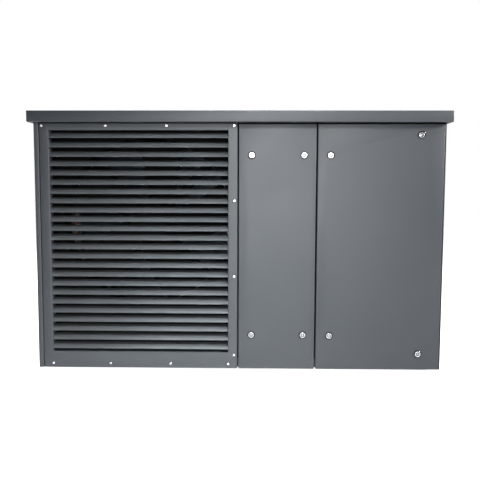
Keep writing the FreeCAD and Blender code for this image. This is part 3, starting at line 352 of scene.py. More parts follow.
roof = folded_tray("roof_cap_sheet", *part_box("roof_cap"), DOWN, ROOF_HEM, ROOF_BEND)
dress(roof, powder_coat, "casing_paint", "roof_cap")


# Side panels: one sheet each, returned at the front and the back with a stiffening fold behind.
# The left one shows its 16 mm front return, the right one only a 3 mm hem.

PANEL_BEND = 0.0018
HEM_BEND = 0.0011
RETURN = 0.016
HEM = 0.003
FOLD = 0.018


def flat_sheet(name, corners):
    """A plane between four corners."""
    start_clean()
    bpy.ops.mesh.primitive_plane_add(size=1.0)
    sheet = named(name)
    for point, place in zip(sheet.data.vertices, corners):
        point.co = place
    return sheet


def draw_out(shift):
    """Extrudes what is selected."""
    bpy.ops.mesh.extrude_region_move(TRANSFORM_OT_translate={"value": shift})


def bent_sheet(name, line, along, bend, thickness=SHEET, flip=False):
    """A sheet bent along a line of corners: a plane makes its first run, its edge is extruded on."""
    line = [Vector(point) for point in line]
    sheet = flat_sheet(name, (line[0], line[1], line[0] + along, line[1] + along))
    for here, beyond in zip(line[1:], line[2:]):
        ends = (here, here + along)
        choose(sheet, "EDGE", lambda e: all(min((v.co - p).length for p in ends) < 1e-5 for v in e.verts))
        draw_out(beyond - here)
    bend_edges(sheet, bend)
    choose(sheet, "FACE")
    bpy.ops.mesh.normals_make_consistent(inside=False)
    if flip:
        bpy.ops.mesh.flip_normals()
    return smoothed(thickened(sheet, thickness))


low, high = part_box("side_panel_left")
left_side = bent_sheet("side_panel_left_sheet", [
    (low.x + RETURN, low.y + FOLD, low.z), (low.x + RETURN, low.y, low.z), (low.x, low.y, low.z),
    (low.x, high.y, low.z), (low.x + RETURN, high.y, low.z), (low.x + RETURN, high.y - FOLD, low.z),
], UP * (high.z - low.z), PANEL_BEND)
dress(left_side, powder_coat, "casing_paint", "side_panel_left")

low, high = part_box("side_panel_right")
right_side = bent_sheet("side_panel_right_sheet", [
    (high.x - RETURN, high.y - FOLD, low.z), (high.x - RETURN, high.y, low.z), (high.x, high.y, low.z),
    (high.x, low.y, low.z), (high.x - HEM, low.y, low.z), (high.x - HEM, low.y + FOLD, low.z),
], UP * (high.z - low.z), HEM_BEND)
dress(right_side, powder_coat, "casing_paint", "side_panel_right")


# Grille frame: a pressed frame with folded edges, its window turned 34 mm deep to hold the blades.

FOLD_BEND = 0.0020
GRILLE_DEPTH = 0.020
GRILLE_WINDOW = (-0.612, -0.034, 0.0735, 0.7975)
WINDOW_DEPTH = 0.034


def window_frame(name, low, high, outward, window, depth=0.0):
    """A folded frame that faces one way, with a window whose edges may be turned inwards."""
    rim = block(name, low, high)
    face = facing(outward)
    choose(rim, "FACE", facing(-outward))
    bpy.ops.mesh.delete(type="FACE")
    left, right, foot, head = window
    for place in ((left, 0, 0), (right, 0, 0), (0, 0, foot), (0, 0, head)):
        choose(rim, "FACE", face)
        bpy.ops.mesh.bisect(plane_co=place, plane_no=RIGHT if place[0] else UP)
    choose(rim, "FACE", lambda f: face(f) and left < f.calc_center_median().x < right
           and foot < f.calc_center_median().z < head)
    if depth:
        draw_out(-outward * depth)
    bpy.ops.mesh.delete(type="FACE")
    return smoothed(thickened(bend_edges(rim, FOLD_BEND)))


low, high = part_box("grille_frame")
grille = window_frame("grille_frame_sheet", low, (high.x, low.y + GRILLE_DEPTH, high.z), FRONT, GRILLE_WINDOW,
                      WINDOW_DEPTH)
dress(grille, powder_coat, "casing_paint", "grille_frame")


# Louvre blades: 24 rolled aluminium strips in a satin metallic coat, which slope down to the front,
# steeper before a rounded knee than behind it, and stand 30 mm apart across the window.

BLADE_FRONT = -0.256
BLADE_KNEE = 0.010
BLADE_DEPTH = 0.025
BLADE_RISE = 0.017
BLADE_KNEE_BEND = 0.0095
BLADE_PITCH = 0.030
BLADE_COUNT = 24
BLADE_FIRST = 0.773
BLADE_SHEET = 0.0012
BLADE_PLAY = 0.0003


def repeated(piece, count, step):
    """A row of the same shape in one mesh."""
    return modified(piece, "ARRAY", count=count, use_relative_offset=False, use_constant_offset=True,
                    constant_offset_displace=step)


blade_left = GRILLE_WINDOW[0] + BLADE_PLAY
blade_line = [
    (blade_left, BLADE_FRONT, BLADE_FIRST), (blade_left, BLADE_FRONT + BLADE_KNEE, BLADE_FIRST + BLADE_KNEE),
    (blade_left, BLADE_FRONT + BLADE_DEPTH, BLADE_FIRST + BLADE_RISE),
]
span = GRILLE_WINDOW[1] - GRILLE_WINDOW[0] - 2 * BLADE_PLAY
blade_coat = surface("satin_metal_coat", (0.240, 0.263, 0.282), (0.211, 0.232, 0.249), 4.0, (0.30, 0.37),
                     1400.0, 0.00004, Metallic=0.8)
blades = bent_sheet("louvre_blade_set", blade_line, RIGHT * span, BLADE_KNEE_BEND, BLADE_SHEET, flip=True)
repeated(blades, BLADE_COUNT, (0.0, 0.0, -BLADE_PITCH))
dress(blades, blade_coat, "casing_paint", "louvre_blades")


# Service panels: two cassettes with a flat skin, folded edges and an inner lip for the seal,
# square holes punched for the shanks of the locks.

PANEL_LIP = 0.0135
LOCK_HOLE = 0.0076
PUNCH_DEPTH = 0.005
# Where each lock sits, and by how many degrees its tongue is turned from upright.
LOCKS = {
    "middle_upper_left": (0.0418, 0.718, 180),
    "middle_upper_right": (0.210, 0.718, 0),
    "middle_lower_left": (0.0418, 0.1336, 180),
    "middle_lower_right": (0.210, 0.1336, 0),
    "right_upper_left": (0.2945, 0.718, 180),
    "right_upper_right": (0.582, 0.7833, 270),
    "right_lower_left": (0.2965, 0.1316, 180),
    "right_lower_right": (0.587, 0.0726, 90),
}


def locks_of(side):
    return [(x, z) for name, (x, z, turn) in LOCKS.items() if name.startswith(side)]


def joined(name, parts):
    """One object from several, whole meshes side by side."""
    start_clean(parts[0])
    for part in parts[1:]:
        part.select_set(True)
    bpy.ops.object.join()
    parts[0].name = name
    parts[0].data.name = name
    return parts[0]


def carved(piece, tool, operation="DIFFERENCE"):
    """Cuts a piece with a tool, or joins the tool on, and takes the tool away."""
    modified(piece, "BOOLEAN", operation=operation, object=tool, solver="EXACT")
    bpy.data.objects.remove(tool)
    return piece


def square_bar(name, x, z, half, front, back):
    """A square bar that lies front to back."""
    return block(name, (x - half, front, z - half), (x + half, back, z + half))


for side in ("middle", "right"):
    low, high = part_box("service_panel_" + side)
    panel = folded_tray("service_panel_" + side + "_sheet", low, high, BACK, PANEL_LIP, FOLD_BEND)
    punches = [square_bar("punch", x, z, LOCK_HOLE, low.y - PUNCH_DEPTH, low.y + PUNCH_DEPTH)
               for x, z in locks_of(side)]
    smoothed(carved(panel, joined("punches", punches)))
    dress(panel, powder_coat, "casing_paint", "service_panel_" + side, body=side + "_panel")


# Quarter-turn locks: a chromed zinc collar with a rounded rim on a rubber gasket and a square
# shank, and in its bore a rotor with a three-sided drive, a spindle and a tongue.

SKIN_FACE = -0.260
COLLAR_RADIUS = 0.0095
# Gasket wider than the collar and near black: a real gasket, enlarged as painted shadow round the head.
GASKET_RADIUS = 0.0124
GASKET_FACE = -0.2607
COLLAR_FACE = -0.2625
NECK_RADIUS = 0.0074
BORE_RADIUS = 0.0060
ROTOR_FACE = -0.2597
DRIVE_FACE = -0.2619
SHANK_HALF = 0.0075
SHANK_END = -0.251
SPINDLE_HALF = 0.004
TONGUE_HALF = 0.006
TONGUE_REACH = 0.028
TONGUE_FRONT = -0.2377
TONGUE_BACK = -0.2347

chrome = surface("bright_chrome", (0.74, 0.76, 0.78), (0.56, 0.58, 0.61), 240.0, (0.14, 0.30), 3000.0,
                 0.00004, Metallic=1.0)
zinc_cast = surface("zinc_die_casting", (0.62, 0.63, 0.65), (0.50, 0.51, 0.53), 80.0, (0.28, 0.42), 2500.0,
                    0.00003, Metallic=1.0)
# Darker copy of the zinc casting for the face inside the bore: painted shade for the recess.
zinc_painted_shade = surface("zinc_painted_shade", (0.24, 0.25, 0.26), (0.12, 0.13, 0.14), 160.0, (0.40, 0.55), 2500.0,
                    0.00004, Metallic=0.9)
# Near-black rubber: a real gasket colour, darkened as painted shadow round the lock heads.
gasket_rubber_and_shadow = surface("gasket_rubber_and_shadow", (0.006, 0.006, 0.0065), (0.009, 0.009, 0.010), 60.0, (0.78, 0.88),
                        1800.0, 0.00005, Specular_IOR_Level=0.08)


def cylinder(name, radius, start, direction, length, sides=32):
    """A round bar from a start point along a direction."""
    start_clean()
    bpy.ops.mesh.primitive_cylinder_add(
        vertices=sides, radius=radius, depth=length, location=Vector(start) + direction * (length / 2),
        rotation=UP.rotation_difference(direction).to_euler())
    return named(name)


def front_rim(face):
    """A test for the sharp edges of a front face."""
    return lambda e: sharp(e) and all(v.co.y < face + 1e-5 for v in e.verts)


def running(axis):
    """A test for edges that run along one axis."""
    return lambda e: abs((e.verts[0].co - e.verts[1].co).normalized()[axis]) > 0.9


def moved_copy(piece, shift):
    """The same shape once more, with its own mesh, somewhere else."""
    twin = piece.copy()
    twin.data = piece.data.copy()
    scene.collection.objects.link(twin)
    twin.data.transform(Matrix.Translation(shift))
    return twin


def set_out(first, places):
    """A piece that stands at the first of several places, x and z, and its copies at the others."""
    return [first] + [moved_copy(first, (x - places[0][0], 0, z - places[0][1])) for x, z in places[1:]]


def swung(piece, centre, angle):
    """Turns a piece's mesh round a line that runs front to back."""
    turn = Matrix.Rotation(angle, 4, "Y")
    piece.data.transform(Matrix.Translation(centre) @ turn @ Matrix.Translation(-centre))
    return piece


def lock_collar(x, z):
    """Rim, neck and shank are joined, bored through and eased at the edge."""
    collar = cylinder("collar", COLLAR_RADIUS, (x, COLLAR_FACE, z), BACK, GASKET_FACE - COLLAR_FACE, 48)
    choose(collar, "FACE", facing(FRONT))
    bpy.ops.mesh.bevel(offset=0.0012, segments=4, affect="EDGES")
    carved(collar, cylinder("neck", NECK_RADIUS, (x, GASKET_FACE - 0.0003, z), BACK, 0.0013, 40), "UNION")
    carved(collar, square_bar("shank", x, z, SHANK_HALF, SKIN_FACE, SHANK_END), "UNION")
    carved(collar, cylinder("bore", BORE_RADIUS, (x, -0.270, z), BACK, 0.025, 40))
    choose(collar, "EDGE", lambda e: all(
        v.co.y < COLLAR_FACE + 1e-5 and abs(math.hypot(v.co.x - x, v.co.z - z) - BORE_RADIUS) < 1e-4
        for v in e.verts))
    bpy.ops.mesh.bevel(offset=0.0006, segments=3, affect="EDGES")
    return smoothed(collar)


def lock_gasket(x, z):
    """A flat rubber ring between the collar and the sheet, widened past the collar as painted shadow."""
    gasket = cylinder("gasket", GASKET_RADIUS, (x, GASKET_FACE, z), BACK, SKIN_FACE - GASKET_FACE, 40)
    carved(gasket, cylinder("neck_hole", NECK_RADIUS + 0.0001, (x, -0.262, z), BACK, 0.004, 40))
    return smoothed(bend_edges(gasket, 0.0002, 2, front_rim(GASKET_FACE)))


def lock_rotor(name, x, z, turn):
    """The face in the bore, darkened as painted shade, and apart from it the drive, spindle and tongue."""
    centre = Vector((x, 0, z))
    rotor = cylinder("rotor", BORE_RADIUS - 0.0001, (x, ROTOR_FACE, z), BACK, SHANK_END - ROTOR_FACE, 40)
    bend_edges(rotor, 0.0003, 2, front_rim(ROTOR_FACE))
    rotor.name = "lock_bore_" + name
    dress(smoothed(rotor), zinc_painted_shade, "chrome", body="lock_" + name)
    drive = cylinder("drive", 0.0046, (x, DRIVE_FACE, z), BACK, ROTOR_FACE - DRIVE_FACE + 0.0005, 3)
    top = max(drive.data.vertices, key=lambda v: v.co.z).co
    bend_edges(swung(drive, centre, -math.atan2(top.x - x, top.z - z)), 0.0004, 2)
    spindle = bend_edges(square_bar("spindle", x, z, SPINDLE_HALF, SHANK_END, TONGUE_FRONT), 0.0005, 2)
    tongue = block("tongue", (x - TONGUE_HALF, TONGUE_FRONT, z - TONGUE_HALF),
                   (x + TONGUE_HALF, TONGUE_BACK, z + TONGUE_REACH))
    bend_edges(tongue, 0.0022, 3, running(1))
    parts = [drive] + [swung(part, centre, math.radians(turn)) for part in (spindle, tongue)]
    dress(smoothed(joined("lock_rotor_" + name, parts)), zinc_cast, "chrome", "lock_cam_" + name,
          body="lock_" + name)


for side in ("middle", "right"):
    places = locks_of(side)
    collars = set_out(lock_collar(*places[0]), places)
    gaskets = set_out(lock_gasket(*places[0]), places)
    dress(joined("lock_collars_" + side, collars), chrome, "chrome", "lock_housings_" + side,
          body=side + "_panel")
    dress(joined("lock_gaskets_" + side, gaskets), gasket_rubber_and_shadow, "rubber_black", body=side + "_panel")
for name, (x, z, turn) in LOCKS.items():
    lock_rotor(name, x, z, turn)


# Grille screws: zinc-plated pan heads with a cross recess on a thin black washer, eleven round
# the frame of the grille.

GRILLE_SCREWS = [
    (-0.634, 0.811), (-0.4285, 0.811), (-0.232, 0.811), (-0.015, 0.811), (-0.0143, 0.5715), (-0.0143, 0.326),
    (-0.0143, 0.0655), (-0.611, 0.0355), (-0.4215, 0.0355), (-0.2235, 0.0355), (-0.0333, 0.0355),
]
SCREW_RADIUS = 0.0044
SCREW_HEIGHT = 0.0022
WASHER_RADIUS = SCREW_RADIUS + 0.0007

bright_zinc = surface("bright_zinc_plating", (0.78, 0.79, 0.80), (0.66, 0.68, 0.72), 90.0, (0.16, 0.30),
                      2600.0, 0.00002, Metallic=1.0)
washer_black = surface("black_washer", (0.012, 0.012, 0.013), (0.020, 0.020, 0.021), 60.0, (0.55, 0.7),
                       2000.0, 0.00004)


def pan_head(place, outward):
    """A screw head: a disc domed by two bevels, with a cross pressed into it."""
    head = cylinder("screw_head", SCREW_RADIUS, place, outward, SCREW_HEIGHT, 24)
    top = Vector(place) + outward * SCREW_HEIGHT
    choose(head, "FACE", facing(outward))
    bpy.ops.mesh.bevel(offset=SCREW_HEIGHT * 0.55, segments=3, affect="EDGES")
    side = UP.cross(outward)
    up = outward.cross(side)
    bars = []
    for long, short in ((side, up), (up, side)):
        reach = long * SCREW_RADIUS * 0.55 + short * SCREW_RADIUS * 0.14 + outward * SCREW_HEIGHT * 0.45
        reach = Vector([abs(v) for v in reach])
        bars.append(block("recess", top - reach, top + reach))
    carved(bars[0], bars[1], "UNION")
    return smoothed(carved(head, bars[0]))


x, z = GRILLE_SCREWS[0]
head = pan_head((x, -0.2603, z), FRONT)
washer = bend_edges(cylinder("grille_washer", WASHER_RADIUS, (x, -0.2598, z), FRONT, 0.0006, 24), 0.0002, 2)
dress(joined("grille_screws", set_out(head, GRILLE_SCREWS)), bright_zinc, "chrome")
dress(joined("grille_washers", set_out(washer, GRILLE_SCREWS)), washer_black, "rubber_black")


# Fan plate: a bulkhead painted black, pressed out to a deep throat round the fan that flares
# on its intake side. Its black is darker than paint: painted shade for the dark behind the blades.

THROAT_RADIUS = 0.287
THROAT_END = -0.084
FLARE_END = -0.070
FLARE_RADIUS = 0.299
FAN_CENTRE = Vector((-0.308, -0.107, 0.497))

# Black coat darkened far below real paint: painted shade, for the dark behind the blades and in the gaps.
black_coat_and_shade = surface("black_coat_and_painted_shade", (0.0025, 0.0025, 0.0027), (0.0038, 0.0038, 0.0041), 5.0, (0.8, 0.9),
                     900.0, 0.00006, Specular_IOR_Level=0.06)


def turned(name, start, direction, profile, sides=32):
    """A round piece from stations along its axis, each a distance and a radius. A profile that
    ends where it began makes a ring; anything else is closed with flat ends."""
    start_clean()
    start = Vector(start)
    bpy.ops.mesh.primitive_circle_add(
        vertices=sides, radius=profile[0][1], location=start + direction * profile[0][0],
        rotation=UP.rotation_difference(direction).to_euler(), fill_type="NOTHING")
    piece = named(name)
    choose(piece, "EDGE")
    for (d0, r0), (d1, r1) in zip(profile, profile[1:]):
        draw_out(direction * (d1 - d0))
        if abs(r1 - r0) > 1e-9:
            bpy.ops.transform.resize(value=(r1 / r0,) * 3, center_override=start + direction * d1)
    bpy.ops.mesh.select_all(action="SELECT")
    if profile[0] == profile[-1]:
        bpy.ops.mesh.remove_doubles(threshold=1e-6)
    else:
        bpy.ops.mesh.fill_holes(sides=0)
    bpy.ops.mesh.normals_make_consistent(inside=False)
    return smoothed(piece)


low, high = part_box("fan_plate")
plate = block("bulkhead", low, (high.x, low.y + SHEET, high.z))
hole_start = (FAN_CENTRE.x, low.y - 0.01, FAN_CENTRE.z)
carved(plate, cylinder("throat_hole", THROAT_RADIUS + 0.001, hole_start, BACK, 0.03, 96))
deep = THROAT_END - low.y
flare = FLARE_END - low.y
throat = turned("throat", (FAN_CENTRE.x, low.y, FAN_CENTRE.z), BACK, [
    (0.0002, THROAT_RADIUS + SHEET), (0.0002, THROAT_RADIUS + 0.0004), (0.0012, THROAT_RADIUS),
    (deep, THROAT_RADIUS), (deep + 0.005, THROAT_RADIUS + 0.002), (deep + 0.010, THROAT_RADIUS + 0.006),
    (flare, FLARE_RADIUS), (flare, FLARE_RADIUS + SHEET), (deep + 0.009, THROAT_RADIUS + 0.0075),
    (deep + 0.004, THROAT_RADIUS + 0.0032), (deep - 0.001, THROAT_RADIUS + SHEET),
    (0.0002, THROAT_RADIUS + SHEET),
], 96)
dress(smoothed(joined("fan_bulkhead", [plate, throat]), 30.0), black_coat_and_shade, "black_paint", "fan_plate")


# Fan: five swept and twisted blades moulded in black glass-filled nylon, in one with the hub that
# sits on the turning bell of an external-rotor motor. The motor's still half and the four straps
# that carry it keep their CAD shapes.

HUB_RADIUS = 0.066
HUB_BORE = 0.0621
BLADE_TIP = 0.280
HUB_FRONT = -0.148
HUB_BACK = -0.066
BLADE_THICKNESS = 0.003
BLADE_CAMBER = 0.012
FAN_BLADES = 5
BLADE_GRID = (12, 16)

# Black nylon darkened below the real moulding: painted shade, so the fan stays dark behind the blades.
fan_nylon_and_shade = surface("black_nylon_and_painted_shade", (0.0028, 0.0028, 0.003), (0.0042, 0.0042, 0.0045), 14.0,
                    (0.7, 0.8), 1800.0, 0.00005, dust=0.002, Specular_IOR_Level=0.06)
cast_alloy = surface("cast_aluminium", (0.36, 0.365, 0.37), (0.27, 0.275, 0.28), 26.0, (0.42, 0.6), 1400.0,
                     0.00012, Metallic=1.0)


def eased(share, hub, middle, tip):
    """A smooth run through three values."""
    rest = 1.0 - share
    return hub * rest * (rest - share) + middle * 4.0 * share * rest + tip * share * (share - rest)


def blade_point(span_share, chord_share):
    """Where a point of the blade's middle sheet lies, round the fan's axis."""
    radius = (HUB_RADIUS - 0.002) * (1.0 - span_share) + BLADE_TIP * span_share
    chord = eased(span_share, 0.108, 0.146, 0.172)
    pitch = math.radians(eased(span_share, 38.0, 29.0, 20.0))
    lead = eased(span_share, -0.008, 0.012, 0.062)
    along = chord * (chord_share - 0.5)
    lift = BLADE_CAMBER * 4.0 * chord_share * (1.0 - chord_share) - BLADE_THICKNESS / 2
    turn = (along * math.cos(pitch) - lift * math.sin(pitch) + lead) / radius
    deep = along * math.sin(pitch) + lift * math.cos(pitch)
    return FAN_CENTRE + Vector((radius * math.cos(turn), deep, radius * math.sin(turn)))


def refinish(finish, *nodes):
    """Gives CAD nodes a finish of their own."""
    for name in nodes:
        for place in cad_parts[name].material_slots:
            place.material = finish


start_clean()
bpy.ops.mesh.primitive_grid_add(x_subdivisions=BLADE_GRID[0], y_subdivisions=BLADE_GRID[1], size=1.0)
blade = named("fan_blade")
for point in blade.data.vertices:
    point.co = blade_point(point.co.y + 0.5, point.co.x + 0.5)
modified(blade, "SOLIDIFY", thickness=BLADE_THICKNESS, offset=0.0)
bend_edges(blade, 0.0011, 2, lambda e: len(e.link_faces) == 2 and e.calc_face_angle() > 1.0)
smoothed(blade, 50.0)
fan_parts = [blade]
for i in range(1, FAN_BLADES):
    fan_parts.append(swung(moved_copy(blade, (0, 0, 0)), FAN_CENTRE, math.radians(360.0 * i / FAN_BLADES)))
hub_start = (FAN_CENTRE.x, HUB_FRONT, FAN_CENTRE.z)
hub_length = HUB_BACK - HUB_FRONT
fan_parts.append(turned("fan_hub", hub_start, BACK, [
    (0.0, HUB_BORE), (0.0, 0.0645), (0.0006, 0.0655), (0.002, HUB_RADIUS), (hub_length - 0.001, HUB_RADIUS),
    (hub_length, HUB_RADIUS - 0.001), (hub_length, HUB_BORE), (0.0, HUB_BORE),
], 64))
dress(joined("fan_blades_and_hub", fan_parts), fan_nylon_and_shade, "fan_plastic", "fan_impeller", body="fan")
# The bell takes the same near-black painted shade, so it shows as dark as the shade round it.
bell = turned("fan_rotor_bell", hub_start, BACK, [
    (0.0, 0.0040), (0.0, 0.0120), (0.0010, 0.0135), (0.0010, 0.0300), (0.0002, 0.0315), (0.0002, 0.0540),
    (0.0012, 0.0585), (0.0040, 0.0612), (0.0080, 0.0619), (hub_length, 0.0619), (hub_length, 0.0560),
    (0.008, 0.0560), (0.008, 0.0075), (0.084, 0.0075),
], 64)
dress(bell, black_coat_and_shade, "motor_aluminium", "fan_rotor", body="fan")
refinish(cast_alloy, "fan_stator")
refinish(black_coat_and_shade, "fan_spider")


# Evaporator: about 280 corrugated aluminium fins, coated dark blue-grey, pressed on copper tubes
# between two end plates, with copper return bends at the left end.

FIN_PITCH = 0.002
FIN_THICKNESS = 0.00022
FIN_FOLDS = 8
FIN_WAVE = 0.0007
TUBE_RADIUS = 0.0048
TUBE_ROWS = 29
TUBE_FIRST = 0.014
TUBE_RISE = 0.0254
TUBE_STAND_OUT = 0.006
RETURN_REACH = 0.017
RETURN_RADIUS = 0.0126

fin_coat = surface("coated_fin_aluminium", (0.19, 0.235, 0.28), (0.13, 0.165, 0.20), 9.0, (0.38, 0.52),
                   1500.0, 0.00003, Metallic=0.85)
copper = surface("copper_tube", (0.62, 0.30, 0.17), (0.42, 0.19, 0.10), 22.0, (0.22, 0.42), 1600.0, 0.00003,
                 Metallic=1.0)

low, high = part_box("evaporator_coil")
fin = flat_sheet("fin", [(low.x + 0.001, y, z) for z in (low.z, high.z) for y in (low.y, high.y)])
for i in range(1, FIN_FOLDS):
    choose(fin, "FACE")
    bpy.ops.mesh.bisect(plane_co=(0, low.y + (high.y - low.y) * i / FIN_FOLDS, 0), plane_no=BACK)
choose(fin, "VERT", lambda v: round((v.co.y - low.y) / (high.y - low.y) * FIN_FOLDS) % 2 == 1)
bpy.ops.transform.translate(value=(FIN_WAVE, 0.0, 0.0))
modified(fin, "SOLIDIFY", thickness=FIN_THICKNESS, offset=0.0)
repeated(fin, int((high.x - low.x) / FIN_PITCH), (FIN_PITCH, 0.0, 0.0))
fin.name = "evaporator_fins"
dress(fin, fin_coat, "fins", "evaporator_coil")

rows = []
for column in (0.25, 0.75):
    start = (low.x - TUBE_STAND_OUT, low.y + (high.y - low.y) * column, low.z + TUBE_FIRST)
    tube = cylinder("coil_tube", TUBE_RADIUS, start, RIGHT, high.x - low.x + 2 * TUBE_STAND_OUT, 12)
    rows.append(repeated(smoothed(tube), TUBE_ROWS, (0.0, 0.0, TUBE_RISE)))
dress(joined("coil_tubes", rows), copper, "copper")


def bent_tube(name, points, radius, bend, sides, steps):
    """A tube run from corner to corner: its end is drawn out straight and spun round each bend."""
    start_clean()
    points = [Vector(p) for p in points]
    turn = UP.rotation_difference((points[1] - points[0]).normalized())
    bpy.ops.mesh.primitive_circle_add(vertices=sides, radius=radius, location=points[0],
                                      rotation=turn.to_euler(), fill_type="NOTHING")
    tube = named(name)
    choose(tube, "EDGE")
    here = points[0]
    for before, corner, after in zip(points, points[1:], points[2:]):
        into = (corner - before).normalized()
        out = (after - corner).normalized()
        axis = into.cross(out).normalized()
        angle = into.angle(out)
        start = corner - into * (bend * math.tan(angle / 2))
        if (start - here).length > 1e-6:
            draw_out(start - here)
        bpy.ops.mesh.spin(steps=steps, angle=-angle, center=start + axis.cross(into) * bend, axis=axis)
        here = corner + out * (bend * math.tan(angle / 2))
        mesh = bmesh.from_edit_mesh(tube.data)
        mesh.edges.ensure_lookup_table()
        for edge in mesh.edges:
            edge.select_set(all((v.co - here).length < radius * 1.01 + 1e-6
                                and abs((v.co - here).dot(out)) < radius * 0.02 + 1e-6 for v in edge.verts)
                            and len(edge.link_faces) == 1)
        mesh.select_flush_mode()
        bmesh.update_edit_mesh(tube.data)
    draw_out(points[-1] - here)
    bpy.ops.mesh.select_all(action="SELECT")
    bpy.ops.mesh.remove_doubles(threshold=1e-7)
    bpy.ops.mesh.fill_holes(sides=0)
    bpy.ops.mesh.normals_make_consistent(inside=False)
    return smoothed(tube, 50.0)


bends = []
y = low.y + (high.y - low.y) * 0.25
x = low.x - 0.002
for i in range(0, TUBE_ROWS - 1, 2):
    for j, shift in ((0, 0.0), (1, (high.y - low.y) * 0.5)):
        z = low.z + TUBE_FIRST + (i + j) * TUBE_RISE
        if z + TUBE_RISE <= high.z:
            bends.append(bent_tube("return_bend", [
                (x, y + shift, z), (x - RETURN_REACH, y + shift, z),
                (x - RETURN_REACH, y + shift, z + TUBE_RISE), (x, y + shift, z + TUBE_RISE),
            ], TUBE_RADIUS, RETURN_RADIUS, 10, 5))
dress(joined("return_bends", bends), copper, "copper")


# Frame: posts, mullions and top rails folded from sheet, on a coated base pan with two galvanised
# rails on rubber pads. Behind the gaps of the front they are near black: painted shade for those gaps.

# The flowered crystals of hot-dip galvanising, each with its own grey.
spangle_group, given, result = effect_group("zinc_spangle", "Colour", Colour=WHITE, Second=WHITE, Size=90.0)
place = add_node(spangle_group, "ShaderNodeTexCoord").outputs["Object"]
crystal = add_node(spangle_group, "ShaderNodeTexVoronoi", {"Vector": place, "Scale": given["Size"]})
grey = add_node(spangle_group, "ShaderNodeSeparateColor", {"Color": crystal.outputs["Color"]}).outputs["Red"]
spangle_group.links.new(between(spangle_group, grey, given["Colour"], given["Second"]), result)


def patterned(finish, group, **given):
    """Lays one more effect over the tone of a finish."""
    tree = finish.node_tree
    base = tree.nodes["Principled BSDF"].inputs["Base Color"]
    tree.links.new(effect(tree, group, Colour=base.links[0].from_socket, **given), base)
    return finish


zinc_sheet = patterned(
    surface("galvanised_sheet", (0.52, 0.54, 0.56), (0.38, 0.40, 0.43), 6.0, (0.34, 0.46), 2200.0, 0.00002,
            dust=0.12, Metallic=1.0), spangle_group, Second=(0.38, 0.40, 0.43, 1), Size=85.0)
pad_rubber = surface("moulded_rubber", (0.018, 0.018, 0.019), (0.028, 0.027, 0.026), 30.0, (0.72, 0.85),
                     1500.0, 0.00010, dust=0.2)
seal_foam = surface("closed_cell_foam", (0.014, 0.014, 0.015), (0.024, 0.024, 0.025), 60.0, (0.85, 0.95),
                    1300.0, 0.00025)

refinish(black_coat_and_shade, "front_mullion_left", "front_mullion_right", "corner_posts", "top_frame", "rear_mullion")
refinish(powder_coat, "base_pan")
refinish(zinc_sheet, "foot_rails", "coil_end_plates", "partition_wall", "circuit_brackets")
refinish(pad_rubber, "foot_pads")
refinish(seal_foam, "panel_seal_middle", "panel_seal_right", "roof_insulation")


# Air intake at the back: a folded border with a round notch for the drain spout, and behind it a
# welded guard of plastic-coated wire, upright wires outside and level ones inside.

INTAKE_WINDOW = (-0.610, -0.036, 0.052, 0.785)
NOTCH_RADIUS = 0.0135
WIRE_RADIUS = 0.0015
WIRE_FIRST = -0.5855
UPRIGHT_WIRES = 22
UPRIGHT_PITCH = 0.025
LEVEL_WIRES = 8
LEVEL_PITCH = 0.091625

coated_wire = surface("plastic_coated_wire", (0.030, 0.032, 0.035), (0.022, 0.024, 0.026), 40.0,
                      (0.34, 0.44), 1800.0, 0.00004, dust=0.15)

low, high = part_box("intake_border")
border = window_frame("intake_border_sheet", low, high, BACK, INTAKE_WINDOW)
spout = ((INTAKE_WINDOW[0] + INTAKE_WINDOW[1]) / 2 + 0.015, high.y - 0.01, 0.035)
carved(border, cylinder("notch", NOTCH_RADIUS, spout, BACK, 0.02, 40))
dress(smoothed(border), powder_coat, "casing_paint", "intake_border")


def wires(start, direction, length, count, step):
    """A row of straight wires with eased ends."""
    wire = cylinder("wire", WIRE_RADIUS, start, direction, length, 8)
    return repeated(smoothed(bend_edges(wire, 0.0005, 1)), count, step)


low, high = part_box("intake_guard")
level_z = INTAKE_WINDOW[2] + LEVEL_PITCH / 2 + WIRE_RADIUS
guard = joined("intake_guard_wires", [
    wires((WIRE_FIRST, high.y - WIRE_RADIUS, low.z), UP, high.z - low.z, UPRIGHT_WIRES,
          (UPRIGHT_PITCH, 0.0, 0.0)),
    wires((low.x, low.y + WIRE_RADIUS, level_z), RIGHT, high.x - low.x, LEVEL_WIRES, (0.0, 0.0, LEVEL_PITCH)),
])
dress(guard, coated_wire, "casing_paint", "intake_guard")


# Rear panel: a folded cassette over the machine side, with round openings for the two threaded
# water ends and the two cable glands.

CONNECTIONS = [(0.190, 0.465), (0.3498, 0.215)]
CONNECTION_HOLE = 0.02195
GLANDS = [(0.430, 0.660), (0.490, 0.660)]
GLAND_HOLE = 0.0082

low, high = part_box("rear_panel")
rear = folded_tray("rear_panel_sheet", low, high, FRONT, 0.0, FOLD_BEND)
drills = [cylinder("drill", CONNECTION_HOLE, (x, high.y - 0.01, z), BACK, 0.02, 48) for x, z in CONNECTIONS]
drills += [cylinder("drill", GLAND_HOLE, (x, high.y - 0.01, z), BACK, 0.02, 32) for x, z in GLANDS]
dress(smoothed(carved(rear, joined("drills", drills))), powder_coat, "casing_paint", "rear_panel")


# Water ends: turned brass stubs with a pipe thread and a chamfered mouth, each in a rubber ring
# that closes the gap in the sheet.

STUB_BACK = 0.242
PANEL_FACE = 0.260
STUB_END = 0.278
SHANK_RADIUS = 0.0195
THREAD_RADIUS = 0.02095
THREAD_ROOT = THREAD_RADIUS - 0.00125
THREAD_PITCH = 0.0023
STUB_BORE = 0.013

brass = surface("turned_brass", (0.72, 0.53, 0.22), (0.60, 0.42, 0.16), 45.0, (0.20, 0.34), 2400.0, 0.00003,
                Metallic=1.0)

